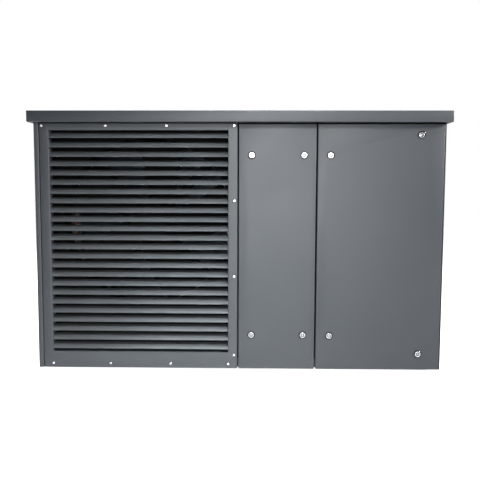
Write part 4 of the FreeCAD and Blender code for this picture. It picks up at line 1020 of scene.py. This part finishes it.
stub_line = [(0.0, STUB_BORE), (0.0, SHANK_RADIUS), (PANEL_FACE - STUB_BACK, SHANK_RADIUS)]
at = PANEL_FACE - STUB_BACK + 0.0008
end = STUB_END - STUB_BACK
while at + THREAD_PITCH < end - 0.001:
    stub_line += [(at, THREAD_ROOT), (at + THREAD_PITCH * 0.42, THREAD_RADIUS),
                  (at + THREAD_PITCH * 0.55, THREAD_RADIUS), (at + THREAD_PITCH * 0.97, THREAD_ROOT)]
    at += THREAD_PITCH
stub_line += [(end, THREAD_ROOT - 0.0006), (end, STUB_BORE + 0.0008), (end - 0.0008, STUB_BORE),
              (0.0, STUB_BORE)]
seal_line = [
    (0.0, SHANK_RADIUS + 0.0001), (0.0, 0.0225), (0.0008, 0.0237), (0.0024, 0.0240), (0.0036, 0.0232),
    (0.0040, 0.0216), (0.0036, SHANK_RADIUS + 0.0001), (0.0, SHANK_RADIUS + 0.0001),
]
stubs = [turned("stub", (x, STUB_BACK, z), BACK, stub_line, 48) for x, z in CONNECTIONS]
rings = [turned("stub_ring", (x, PANEL_FACE, z), BACK, seal_line, 48) for x, z in CONNECTIONS]
dress(joined("water_stubs", stubs), brass, "brass", "water_connections")
dress(joined("water_stub_rings", rings), pad_rubber, "rubber_black")


# Cable glands: black polyamide, a hexagon body screwed into the sheet, a domed cap nut with grips,
# and inside it the rubber insert that would close round a cable.

GLAND_HEX = 0.0137
GLAND_BODY = 0.006
GLAND_REACH = 0.015
GLAND_BORE = 0.0065

polyamide = surface("black_polyamide", (0.016, 0.016, 0.017), (0.024, 0.024, 0.025), 24.0, (0.42, 0.54),
                    1700.0, 0.00005)


def cable_gland(x, z):
    """Hexagon body and domed cap nut, bored through."""
    body = bend_edges(cylinder("gland", GLAND_HEX, (x, PANEL_FACE, z), BACK, GLAND_BODY, 6), 0.0006, 2)
    cap_start = (x, PANEL_FACE + GLAND_BODY, z)
    cap = cylinder("gland_cap", GLAND_HEX * 0.96, cap_start, BACK, GLAND_REACH - GLAND_BODY, 12)
    dome_line = [(0.0, 0.0125), (0.0030, 0.0125), (0.0055, 0.0118), (0.0075, 0.0104), (0.0090, 0.0088)]
    bend_edges(carved(cap, turned("dome", cap_start, BACK, dome_line, 48), "INTERSECT"), 0.0003, 1)
    whole = joined("gland", [body, cap])
    carved(whole, cylinder("gland_bore", GLAND_BORE, (x, PANEL_FACE - 0.002, z), BACK, 0.02, 32))
    return smoothed(whole, 25.0)


insert_line = [
    (0.0, 0.0048), (0.0, GLAND_BORE - 0.0001), (0.0042, GLAND_BORE - 0.0001), (0.0042, 0.0055),
    (0.0030, 0.0048), (0.0, 0.0048),
]
glands = [cable_gland(x, z) for x, z in GLANDS]
inserts = [turned("insert", (x, PANEL_FACE + 0.0105, z), BACK, insert_line, 32) for x, z in GLANDS]
dress(joined("cable_gland_set", glands), polyamide, "tray_plastic", "cable_glands")
dress(joined("cable_gland_inserts", inserts), pad_rubber, "rubber_black")
refinish(polyamide, "condensate_tray")


# Casing screws: zinc-plated pan heads along the edges of the side panels, the rear panel and the
# intake border, which draw the sheets against the frame.

SIDE_SCREWS = [(y, z) for y in (-0.215, 0.0, 0.215) for z in (0.036, 0.806)]
REAR_SCREWS = [(x, z) for x in (0.014, 0.320, 0.626) for z in (0.036, 0.801)] + [(0.626, 0.290), (0.626, 0.547)]
BORDER_SCREWS = [(x, z) for x in (-0.626, -0.450, -0.166, -0.020) for z in (0.034, 0.801)]
BORDER_SCREWS += [(x, z) for x in (-0.626, -0.020) for z in (0.290, 0.547)]

side_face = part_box("side_panel_right")[1].x
heads = [pan_head((side_face, *SIDE_SCREWS[0]), RIGHT), pan_head((-side_face, *SIDE_SCREWS[0]), LEFT)]
rear_head = pan_head((REAR_SCREWS[0][0], PANEL_FACE, REAR_SCREWS[0][1]), BACK)
for y, z in SIDE_SCREWS[1:]:
    shift = (0, y - SIDE_SCREWS[0][0], z - SIDE_SCREWS[0][1])
    heads += [moved_copy(head, shift) for head in heads[:2]]
heads += set_out(rear_head, REAR_SCREWS + BORDER_SCREWS)
dress(joined("casing_screws", heads), bright_zinc, "chrome")


# Compressor: a welded steel shell in black enamel with a drawn dome and foot, a terminal cap on its
# front, and a pressed foot plate bolted down through three waisted rubber feet.

COMPRESSOR_AXIS = Vector((0.552, 0.045, 0.0))
SHELL_RADIUS = 0.082
SHELL_WELDS = (0.048, 0.298)
CAP_FRONT = COMPRESSOR_AXIS.y - 0.088
FOOT_TOP = 0.050
FOOT_PLATE = 0.004
FOOT_CIRCLE = 0.088
FOOT_WIDTH = 0.017
BOLT_SHIFT = 0.004

black_enamel = surface("rotor_black_enamel", (0.016, 0.016, 0.017), (0.024, 0.024, 0.025), 20.0, (0.38, 0.5),
                       1500.0, 0.00006)
shell_line = [(0.0, 0.060), (0.0, 0.074), (0.003, 0.0785), (0.009, 0.0812), (0.016, SHELL_RADIUS)]
for at in SHELL_WELDS:
    stations = ((0.0, 0.0), (0.002, 0.0), (0.0032, 0.0008), (0.0068, 0.0008), (0.008, 0.0), (0.010, 0.0))
    shell_line += [(round(at + d, 4), SHELL_RADIUS + r) for d, r in stations]
shell_line += [
    (0.334, SHELL_RADIUS), (0.343, 0.0808), (0.351, 0.0770), (0.358, 0.0705), (0.364, 0.0610), (0.3675, 0.050),
    (0.3695, 0.036), (0.370, 0.020),
]
shell = turned("compressor_shell", COMPRESSOR_AXIS + UP * FOOT_TOP, UP, shell_line, 72)
start_clean()
bpy.ops.mesh.primitive_circle_add(vertices=6, radius=0.1, fill_type="NGON")
foot_plate = named("compressor_foot_plate")
feet = []
corners = []
for i in range(3):
    turn = math.radians(90 + 120 * i)
    away = Vector((math.cos(turn), math.sin(turn), 0))
    foot = COMPRESSOR_AXIS + away * FOOT_CIRCLE
    feet.append(foot)
    for side in (-1, 1):
        corners.append(foot + away * FOOT_WIDTH + Vector((-away.y, away.x, 0)) * FOOT_WIDTH * side)
for point, corner in zip(foot_plate.data.vertices, corners):
    point.co = (corner.x, corner.y, FOOT_TOP - FOOT_PLATE)
modified(foot_plate, "SOLIDIFY", thickness=FOOT_PLATE, offset=1.0)
choose(foot_plate, "FACE")
bpy.ops.mesh.normals_make_consistent(inside=False)
bend_edges(foot_plate, 0.009, 4, running(2))
smoothed(bend_edges(foot_plate, 0.0006, 1))
cap = cylinder("terminal_cap", 0.030, (COMPRESSOR_AXIS.x, CAP_FRONT, 0.290), BACK, 0.014, 40)
bend_edges(cap, 0.004, 4, front_rim(CAP_FRONT))
whole = joined("compressor_body", [shell, foot_plate, cap])
dress(smoothed(whole), black_enamel, "black_paint", "compressor")

rubber_foot = turned("rubber_foot", feet[0] + UP * 0.022, UP, [
    (0.0, 0.0152), (0.0010, 0.0168), (0.0080, 0.0170), (0.0096, 0.0140), (0.0120, 0.0130), (0.0144, 0.0140),
    (0.0160, 0.0170), (0.0230, 0.0168), (0.0240, 0.0152),
], 32)
foot_bolt = cylinder("foot_bolt", 0.0055, feet[0] + Vector((0, BOLT_SHIFT, FOOT_TOP)), UP, 0.0045, 6)
bend_edges(foot_bolt, 0.0005, 1)
rubber_feet = [rubber_foot]
foot_bolts = [foot_bolt]
for foot in feet[1:]:
    rubber_feet.append(moved_copy(rubber_foot, foot - feet[0]))
    away = (foot - COMPRESSOR_AXIS).normalized() - BACK
    foot_bolts.append(moved_copy(foot_bolt, foot - feet[0] + away * BOLT_SHIFT))
dress(joined("compressor_rubber_feet", rubber_feet), pad_rubber, "rubber_black", "compressor_grommets")
dress(joined("compressor_foot_bolts", foot_bolts), bright_zinc, "chrome")


# Suction accumulator: a drawn and welded can in the same enamel, upright under the four-way valve.

VALVE_X = 0.42575
VALVE_Y = 0.145
CAN_FOOT = 0.150

can = turned("suction_accumulator", (VALVE_X, VALVE_Y, CAN_FOOT), UP, [
    (0.0, 0.010), (0.0006, 0.020), (0.0030, 0.0290), (0.0075, 0.0365), (0.0130, 0.0405), (0.0200, 0.042),
    (0.1160, 0.042), (0.1180, 0.042), (0.1190, 0.0427), (0.1220, 0.0427), (0.1230, 0.042), (0.1250, 0.042),
    (0.2200, 0.042), (0.2270, 0.0405), (0.2325, 0.0365), (0.2370, 0.0290), (0.2394, 0.020), (0.2400, 0.010),
], 56)
dress(can, black_enamel, "black_paint", "accumulator")


# Four-way valve: a brass cylinder that lies front to back, pressed shut at both ends, with its
# copper stubs brazed in and a moulded pilot coil at its side.

VALVE_Z = 0.650
VALVE_FRONT = 0.097

valve = turned("four_way_valve", (VALVE_X, VALVE_FRONT, VALVE_Z), BACK, [
    (0.0, 0.0125), (0.0008, 0.0165), (0.0030, 0.0188), (0.0100, 0.0188), (0.0108, 0.0178), (0.0852, 0.0178),
    (0.0860, 0.0188), (0.0930, 0.0188), (0.0952, 0.0165), (0.0960, 0.0125),
], 40)
dress(valve, brass, "brass", "reversing_valve")
coil = block("pilot_coil", (0.3847, VALVE_Y - 0.011, VALVE_Z - 0.011),
             (0.4085, VALVE_Y + 0.011, VALVE_Z + 0.011))
nut = cylinder("pilot_nut", 0.0065, (0.3812, VALVE_Y, VALVE_Z), RIGHT, 0.0036, 6)
dress(smoothed(bend_edges(coil, 0.0022, 3)), polyamide, "tray_plastic")
dress(smoothed(bend_edges(nut, 0.0004, 1)), bright_zinc, "chrome")


# Plate exchanger: 34 pressed stainless plates brazed with copper between two thick cover plates,
# with four port collars on its right-hand cover.

PACK_LOW = Vector((0.036, 0.084, 0.190))
PACK_HIGH = Vector((0.130, 0.194, 0.490))
PACK_COVER = 0.006
PLATE_PITCH = 0.00241
PLATES = 34
GAS_Y = 0.109
WATER_Y = 0.169
PORT_LOW = 0.215
PORT_HIGH = 0.465
GAS_TUBE = 0.008
LIQUID_TUBE = 0.005
WATER_TUBE = 0.016

stainless = surface("pressed_stainless_steel", (0.56, 0.55, 0.53), (0.46, 0.45, 0.44), 30.0, (0.22, 0.34),
                    1900.0, 0.00003, Metallic=1.0)


def plate(name, x0, x1, inset, edge=0.0):
    """One plate of the pack, its four corners rounded."""
    inwards = Vector((0.0, inset, inset))
    sheet = block(name, Vector((x0, *PACK_LOW.yz)) + inwards, Vector((x1, *PACK_HIGH.yz)) - inwards)
    bend_edges(sheet, 0.019, 6, running(0))
    if edge:
        bend_edges(sheet, edge, 2)
    return smoothed(sheet)


def collar_ring(start, direction, inner, outer, length):
    """A turned ring with eased edges, round a pipe."""
    ease = min(0.0012, length / 4)
    return turned("collar", start, direction, [
        (0.0, inner), (0.0, outer - ease), (ease, outer), (length - ease, outer), (length, outer - ease),
        (length, inner), (0.0, inner),
    ], 32)


pack_start = PACK_LOW.x + PACK_COVER
thin = plate("thin_plate", pack_start + 0.0002, pack_start + 0.0016, 0.0018)
repeated(thin, PLATES, (PLATE_PITCH, 0.0, 0.0))
cover = plate("cover_plate", PACK_LOW.x, pack_start, 0.0, 0.0008)
other = moved_copy(cover, (PACK_HIGH.x - PACK_LOW.x - PACK_COVER, 0, 0))
dress(joined("exchanger_plates", [thin, cover, other]), stainless, "stainless", "plate_exchanger")
dress(plate("exchanger_braze", pack_start, PACK_HIGH.x - PACK_COVER, 0.0030), copper, "copper")
collars = [
    collar_ring((PACK_HIGH.x, y, z), RIGHT, radius + 0.0001, radius + 0.0032, 0.012)
    for y, z, radius in ((WATER_Y, PORT_LOW, WATER_TUBE), (WATER_Y, PORT_HIGH, WATER_TUBE),
                         (GAS_Y, PORT_LOW, LIQUID_TUBE), (GAS_Y, PORT_HIGH, GAS_TUBE))
]
dress(joined("exchanger_ports", collars), stainless, "stainless")


# Circulation pump: an iron volute in the pipe's line, a ribbed motor flanged to it with four
# screws, a moulded terminal box with a dial, and a union nut on each side.

PUMP_X = 0.2706
PUMP_Z = 0.215
VOLUTE_FRONT = 0.147
MOTOR_FRONT = 0.087
PUMP_BOX_FRONT = 0.065
PUMP_BOX_HALF = 0.036
GROOVES = 9
GROOVE_PITCH = 0.006
FLANGE_CIRCLE = 0.0382
FLANGE_SCREW_FRONT = VOLUTE_FRONT - 0.0035

pump_iron = surface("painted_cast_iron", (0.052, 0.058, 0.066), (0.040, 0.045, 0.052), 26.0, (0.44, 0.58),
                    700.0, 0.00022, dust=0.1)

volute = turned("volute", (PUMP_X, VOLUTE_FRONT, PUMP_Z), BACK, [
    (0.0, 0.0405), (0.0008, 0.0415), (0.0060, 0.0415), (0.0068, 0.0425), (0.0100, 0.0440), (0.0320, 0.0440),
    (0.0380, 0.0425), (0.0420, 0.0380), (0.0440, 0.0310), (0.0440, 0.0180), (0.0430, 0.0165),
], 56)
motor_line = [(0.0, 0.0340), (0.0015, 0.0355)]
for i in range(GROOVES):
    motor_line += [(at + i * GROOVE_PITCH, r)
                   for at, r in ((0.003, 0.0355), (0.0038, 0.0330), (0.0072, 0.0330), (0.0080, 0.0355))]
motor_line += [(0.0600, 0.0355)]
motor = turned("pump_motor", (PUMP_X, MOTOR_FRONT, PUMP_Z), BACK, motor_line, 48)
dress(joined("circulation_pump_body", [volute, motor]), pump_iron, "pump_iron", "circulation_pump")
pump_box = block("pump_box", (PUMP_X - PUMP_BOX_HALF, PUMP_BOX_FRONT, PUMP_Z - PUMP_BOX_HALF),
                 (PUMP_X + PUMP_BOX_HALF, MOTOR_FRONT, PUMP_Z + 0.046))
bend_edges(pump_box, 0.0050, 4, running(1))
bend_edges(pump_box, 0.0016, 3, front_rim(PUMP_BOX_FRONT))
dial = turned("pump_dial", (PUMP_X, PUMP_BOX_FRONT, PUMP_Z + 0.010), FRONT, [
    (0.0, 0.0140), (0.0016, 0.0138), (0.0022, 0.0128), (0.0022, 0.0100), (0.0060, 0.0092), (0.0068, 0.0084),
], 36)
dress(smoothed(joined("pump_terminal_box", [pump_box, dial])), polyamide, "tray_plastic")
nuts = []
for x in (PUMP_X - 0.0605, PUMP_X + 0.0445):
    nut = bend_edges(cylinder("union_nut", 0.0245, (x, WATER_Y, PUMP_Z), RIGHT, 0.016, 6), 0.0010, 2)
    bore = cylinder("nut_bore", WATER_TUBE + 0.0002, (PUMP_X - 0.07, WATER_Y, PUMP_Z), RIGHT, 0.14, 32)
    nuts.append(carved(nut, bore))
dress(smoothed(joined("union_nuts", nuts)), brass, "brass")
flange_screws = []
for i in range(4):
    turn = math.radians(45 + 90 * i)
    place = (PUMP_X + FLANGE_CIRCLE * math.cos(turn), FLANGE_SCREW_FRONT,
             PUMP_Z + FLANGE_CIRCLE * math.sin(turn))
    flange_screws.append(cylinder("flange_screw", 0.0028, place, BACK, 0.004, 16))
whole = bend_edges(joined("flange_screws", flange_screws), 0.0005, 2, front_rim(FLANGE_SCREW_FRONT))
dress(smoothed(whole), bright_zinc, "chrome")


# Expansion valve: a hexagon brass body in the liquid line with a moulded stepper drive on top.

EXPANSION = Vector((0.080, GAS_Y, 0.084))

hexagon = cylinder("expansion_body", 0.0127, EXPANSION - Vector((0.020, 0, 0)), RIGHT, 0.040, 6)
bend_edges(hexagon, 0.0008, 2)
stem = turned("expansion_stem", EXPANSION + Vector((0, 0, 0.008)), UP, [
    (0.0, 0.0095), (0.0040, 0.0095), (0.0048, 0.0085), (0.0060, 0.0085)], 32)
dress(smoothed(joined("expansion_valve_body", [hexagon, stem])), brass, "brass", "expansion_valve")
drive = turned("expansion_drive", EXPANSION + Vector((0, 0, 0.0135)), UP, [
    (0.0, 0.0145), (0.0008, 0.0157), (0.0190, 0.0157), (0.0200, 0.0148), (0.0215, 0.0148), (0.0225, 0.0157),
    (0.0275, 0.0150), (0.0295, 0.0130), (0.0305, 0.0095)], 40)
dress(drive, polyamide, "tray_plastic")


# Pipes: bent copper for gas and liquid with a brazed cup at each joint, and bent stainless tube
# for the water.

PIPE_BEND = 0.026
RISER_X = -0.029
RISER_FOOT = 0.170
RISER_TOP = 0.720
COIL_FACE = -0.048
FEEDS = 6
FEED_RADIUS = 0.0035
GAS_RISER_Y = 0.165
COIL_GAS_Z = 0.580
DISCHARGE_Z = 0.749
CAN_TOP = 0.3895
VALVE_FOOT = VALVE_Z - 0.0165
SUCTION_Z = 0.096


def gas_pipe(*corners):
    return bent_tube("gas_pipe", corners, GAS_TUBE, PIPE_BEND, 20, 10)


def liquid_pipe(*corners):
    return bent_tube("liquid_pipe", corners, LIQUID_TUBE, PIPE_BEND, 16, 10)


def water_pipe(*corners):
    return bent_tube("water_pipe", corners, WATER_TUBE - 0.0003, PIPE_BEND, 28, 12)


def cup(x, y, z, direction, outer=0.0092, length=0.014):
    """The brazed cup at the joint of a gas pipe."""
    return collar_ring((x, y, z), direction, GAS_TUBE + 0.0001, outer, length)


def feeds(y, low):
    """Short tubes from a riser to the end of the coil."""
    step = (RISER_TOP - low) / FEEDS
    first = cylinder("feed", FEED_RADIUS, (COIL_FACE, y, low + step / 2), RIGHT, RISER_X - COIL_FACE, 12)
    return repeated(smoothed(first), FEEDS, (0.0, 0.0, step))


shell_x, shell_y, _ = COMPRESSOR_AXIS
discharge = [
    gas_pipe((shell_x, shell_y, 0.4185), (shell_x, shell_y, DISCHARGE_Z), (VALVE_X, VALVE_Y, DISCHARGE_Z),
             (VALVE_X, VALVE_Y, VALVE_Z + 0.016)),
    gas_pipe((VALVE_X, GAS_Y, VALVE_Z - 0.016), (VALVE_X, GAS_Y, PORT_HIGH),
             (PACK_HIGH.x - 0.001, GAS_Y, PORT_HIGH)),
    cup(shell_x, shell_y, 0.4195, UP, 0.0098, 0.016),
    cup(VALVE_X, VALVE_Y, VALVE_Z + 0.0172, UP),
    cup(VALVE_X, GAS_Y, VALVE_Z - 0.0172, DOWN),
]
dress(joined("discharge_tubes", discharge), copper, "copper", "discharge_pipes")

can_way = Vector((VALVE_X, VALVE_Y, SUCTION_Z))
shell_way = Vector((shell_x, shell_y, SUCTION_Z)) - can_way
suction = [
    turned("gas_riser", (RISER_X, GAS_RISER_Y, RISER_FOOT), UP, [
        (0.0, 0.0060), (0.0012, 0.0082), (0.0035, 0.0090), (0.5465, 0.0090), (0.5488, 0.0082), (0.5500, 0.0060),
    ], 24),
    feeds(GAS_RISER_Y, RISER_FOOT),
    gas_pipe((RISER_X + 0.0085, GAS_RISER_Y, COIL_GAS_Z), (VALVE_X, GAS_RISER_Y, COIL_GAS_Z),
             (VALVE_X, GAS_RISER_Y, VALVE_FOOT)),
    smoothed(cylinder("can_pipe", GAS_TUBE, (VALVE_X, VALVE_Y, CAN_TOP), UP, VALVE_FOOT - CAN_TOP, 20)),
    gas_pipe((VALVE_X, VALVE_Y, CAN_FOOT + 0.0005), can_way, can_way + shell_way * 0.50),
    cup(VALVE_X, GAS_RISER_Y, VALVE_Z - 0.0172, DOWN),
    cup(VALVE_X, VALVE_Y, VALVE_Z - 0.0172, DOWN),
    cup(VALVE_X, VALVE_Y, CAN_TOP + 0.0002, UP, length=0.012),
]
dress(joined("suction_tubes", suction), copper, "copper", "suction_pipes")

liquid = [
    liquid_pipe((PACK_HIGH.x - 0.001, GAS_Y, PORT_LOW), (0.170, GAS_Y, PORT_LOW), (0.170, GAS_Y, EXPANSION.z),
                (EXPANSION.x + 0.019, GAS_Y, EXPANSION.z)),
    liquid_pipe((EXPANSION.x - 0.019, GAS_Y, EXPANSION.z), (RISER_X, GAS_Y, EXPANSION.z),
                (RISER_X, GAS_Y, RISER_TOP - 0.0003)),
    feeds(GAS_Y, EXPANSION.z + PIPE_BEND),
]
dress(joined("liquid_tubes", liquid), copper, "copper", "liquid_line")

(flow_x, _), (return_x, _) = CONNECTIONS
stub_y = STUB_BACK - 0.0005
pump_pipe = cylinder("pump_pipe", WATER_TUBE, (PACK_HIGH.x - 0.001, WATER_Y, PORT_LOW), RIGHT,
                     PUMP_X - 0.043 - PACK_HIGH.x, 28)
water = [
    water_pipe((PACK_HIGH.x - 0.001, WATER_Y, PORT_HIGH), (flow_x, WATER_Y, PORT_HIGH),
               (flow_x, stub_y, PORT_HIGH)),
    smoothed(pump_pipe),
    water_pipe((PUMP_X + 0.042, WATER_Y, PORT_LOW), (return_x, WATER_Y, PORT_LOW),
               (return_x, stub_y, PORT_LOW)),
]
dress(joined("water_tubes", water), stainless, "stainless", "water_pipes")


# Electrical box: an open tray folded from galvanised sheet behind the middle panel. It holds the
# drive module, the control board and the terminal rail.

tray = folded_tray("electrical_tray", *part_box("electrical_box"), FRONT, 0.0, PANEL_BEND)
dress(tray, zinc_sheet, "zinc_steel", "electrical_box")


# Drive module: an extruded aluminium heat sink of twelve fins on a moulded base.

SINK_FINS = 12
SINK_FIN = 0.0021
SINK_DEPTH = 0.026
SINK_HALF_BASE = 0.004

sink_metal = surface("extruded_aluminium", (0.60, 0.61, 0.62), (0.48, 0.49, 0.50), 18.0, (0.26, 0.40),
                     1500.0, 0.00003, Metallic=1.0)

low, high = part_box("inverter")
sink_back = low.y + SINK_DEPTH
base = block("sink_base", (low.x, sink_back - SINK_HALF_BASE, low.z),
             (high.x, sink_back + SINK_HALF_BASE, high.z))
bend_edges(base, 0.0005, 1)
sink_fin = block("sink_fin", low, (low.x + SINK_FIN, sink_back - 0.0035, high.z))
choose(sink_fin, "FACE", facing(FRONT))
bpy.ops.transform.resize(value=(0.6, 1.0, 1.0), center_override=(low.x + SINK_FIN / 2, low.y, low.z))
repeated(sink_fin, SINK_FINS, ((high.x - low.x - SINK_FIN) / (SINK_FINS - 1), 0.0, 0.0))
dress(smoothed(joined("drive_heat_sink", [base, sink_fin]), 20.0), sink_metal, "motor_aluminium", "inverter")
module = block("drive_module", (low.x + 0.002, sink_back + SINK_HALF_BASE, low.z + 0.002),
               (high.x - 0.002, high.y, high.z - 0.002))
dress(smoothed(bend_edges(module, 0.0030, 3)), polyamide, "motor_aluminium")


# Control board: green glass-fibre board on four spacers, with relays, a transformer, capacitors,
# chips and a strip of plug-in terminals.

BOARD_SHEET = 0.0016
SPACER_RADIUS = 0.0030
SPACER_INSET = 0.004
RELAYS = 4
PLUGS = 16
PLUG_PITCH = 0.0091

board_group, given, result = effect_group("board_tracks", "Colour", Colour=WHITE, Track=WHITE)
place = add_node(board_group, "ShaderNodeTexCoord").outputs["Object"]
cells = add_node(board_group, "ShaderNodeTexVoronoi", {"Vector": place, "Scale": 160.0, "Randomness": 0.55},
                 distance="CHEBYCHEV", feature="DISTANCE_TO_EDGE")
track = stretched(board_group, cells.outputs["Distance"], start=0.05, end=0.09)
board_group.links.new(between(board_group, track, given["Track"], given["Colour"]), result)

board_green = patterned(
    surface("board_lacquer", (0.010, 0.085, 0.040), (0.008, 0.066, 0.032), 30.0, (0.22, 0.34), 900.0, 0.00002),
    board_group, Track=(0.030, 0.170, 0.080, 1))
relay_plastic = surface("relay_plastic", (0.020, 0.028, 0.052), (0.016, 0.022, 0.044), 30.0, (0.30, 0.42),
                        1500.0, 0.00003)
pale_plastic = surface("pale_polyamide", (0.44, 0.46, 0.44), (0.36, 0.38, 0.36), 24.0, (0.40, 0.52), 1500.0,
                       0.00004)

low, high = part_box("control_board")
front = high.y - 0.010
board = block("circuit_board", (low.x, front, low.z), (high.x, front + BOARD_SHEET, high.z))
dress(bend_edges(board, 0.0030, 3, running(1)), board_green, "board", "control_board")
relays = []
for i in range(RELAYS):
    x = low.x + 0.012 + i * 0.020
    relay = block("relay", (x, front - 0.016, high.z - 0.040), (x + 0.015, front - 0.0004, high.z - 0.012))
    relays.append(bend_edges(relay, 0.0009, 2))
chips = []
for x, z, wide, tall in ((0.012, 0.040, 0.014, 0.014), (0.040, 0.044, 0.010, 0.006),
                         (0.040, 0.034, 0.010, 0.006), (0.062, 0.040, 0.007, 0.016)):
    chip = block("chip", (low.x + x, front - 0.0022, low.z + z), (low.x + x + wide, front, low.z + z + tall))
    chips.append(bend_edges(chip, 0.0003, 1))
core = block("transformer", (high.x - 0.058, front - 0.023, high.z - 0.058),
             (high.x - 0.012, front - 0.003, high.z - 0.012))
chips.append(bend_edges(core, 0.0016, 2))
dress(smoothed(joined("board_relays", relays)), relay_plastic, "board")
dress(smoothed(joined("board_chips", chips)), polyamide, "board")
metal = []
for x, z, radius in ((0.080, 0.056, 0.0050), (0.080, 0.042, 0.0050), (0.094, 0.049, 0.0062)):
    metal.append(turned("capacitor", (low.x + x, front, low.z + z), FRONT, [
        (0.0, radius - 0.0003), (0.0008, radius), (0.0015, radius - 0.0004), (0.0022, radius), (0.0112, radius),
        (0.0120, radius - 0.0006), (0.0120, radius * 0.55), (0.0117, radius * 0.5)], 24))
for x in (low.x + SPACER_INSET, high.x - SPACER_INSET):
    for z in (low.z + SPACER_INSET, high.z - SPACER_INSET):
        metal.append(cylinder("spacer", SPACER_RADIUS, (x, front + BOARD_SHEET, z), BACK, 0.0084, 6))
        head = cylinder("spacer_head", SPACER_RADIUS, (x, front - BOARD_SHEET, z), BACK, BOARD_SHEET, 16)
        metal.append(bend_edges(head, 0.0004, 2))
dress(smoothed(joined("board_metal", metal)), sink_metal, "board")
plug = block("plug", (low.x + 0.012, front - 0.014, low.z + 0.012), (low.x + 0.0205, front, low.z + 0.027))
choose(plug, "FACE", facing(DOWN))
bpy.ops.mesh.inset(thickness=0.0018, depth=-0.0030)
plugs = repeated(bend_edges(plug, 0.0004, 1), PLUGS, (PLUG_PITCH, 0.0, 0.0))
dress(smoothed(plugs), pale_plastic, "terminal_plastic")


# Terminal rail: fourteen clamp terminals with open wire mouths and slotted screws, snapped on a
# hat-shaped zinc rail.

TERMINALS = 14
TERMINAL_PITCH = 0.011
RAIL_DEPTH = 0.0070
RAIL_BACK = 0.0005
WELL_X = 0.0052
WELL_Z = 0.0165

low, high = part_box("terminal_rail")
terminal_x = low.x + 0.0055
hat_line = [
    (RAIL_DEPTH, low.z + 0.0055), (RAIL_DEPTH, low.z + 0.0100), (RAIL_BACK, low.z + 0.0100),
    (RAIL_BACK, high.z - 0.0100), (RAIL_DEPTH, high.z - 0.0100), (RAIL_DEPTH, high.z - 0.0055),
]
rail_line = [(low.x, high.y - deep, z) for deep, z in hat_line]
rail = bent_sheet("terminal_rail_sheet", rail_line, RIGHT * (high.x - low.x), 0.0008, 0.0010)
clamp = block("clamp", (terminal_x, low.y, low.z),
              (terminal_x + TERMINAL_PITCH - 0.0006, high.y - RAIL_DEPTH - 0.0001, high.z))
choose(clamp, "EDGE", lambda e: running(0)(e) and all(v.co.y < low.y + 1e-5 for v in e.verts))
bpy.ops.mesh.bevel(offset=0.009, segments=1, affect="EDGES")
bend_edges(clamp, 0.0004, 1)
mouths = []
for z in (low.z + 0.003, high.z - 0.011):
    mouths.append(block("mouth", (terminal_x + 0.0028, low.y - 0.005, z),
                        (terminal_x + 0.0076, low.y + 0.015, z + 0.008)))
slotted = []
for z in (low.z + WELL_Z, high.z - WELL_Z):
    x = terminal_x + WELL_X
    mouths.append(cylinder("screw_well", 0.0030, (x, low.y - 0.001, z), BACK, 0.006, 16))
    screw = cylinder("clamp_screw", 0.0027, (x, low.y + 0.002, z), BACK, 0.003, 14)
    slot = block("slot", (x - 0.0032, low.y + 0.0015, z - 0.0004), (x + 0.0033, low.y + 0.0028, z + 0.0004))
    slotted.append(carved(screw, slot))
carved(clamp, joined("mouths", mouths))
repeated(smoothed(clamp, 25.0), TERMINALS, (TERMINAL_PITCH, 0.0, 0.0))
screws = repeated(smoothed(joined("clamp_screws", slotted)), TERMINALS, (TERMINAL_PITCH, 0.0, 0.0))
dress(clamp, pale_plastic, "terminal_plastic")
dress(screws, bright_zinc, "chrome")
dress(rail, zinc_sheet, "zinc_steel", "terminal_rail")
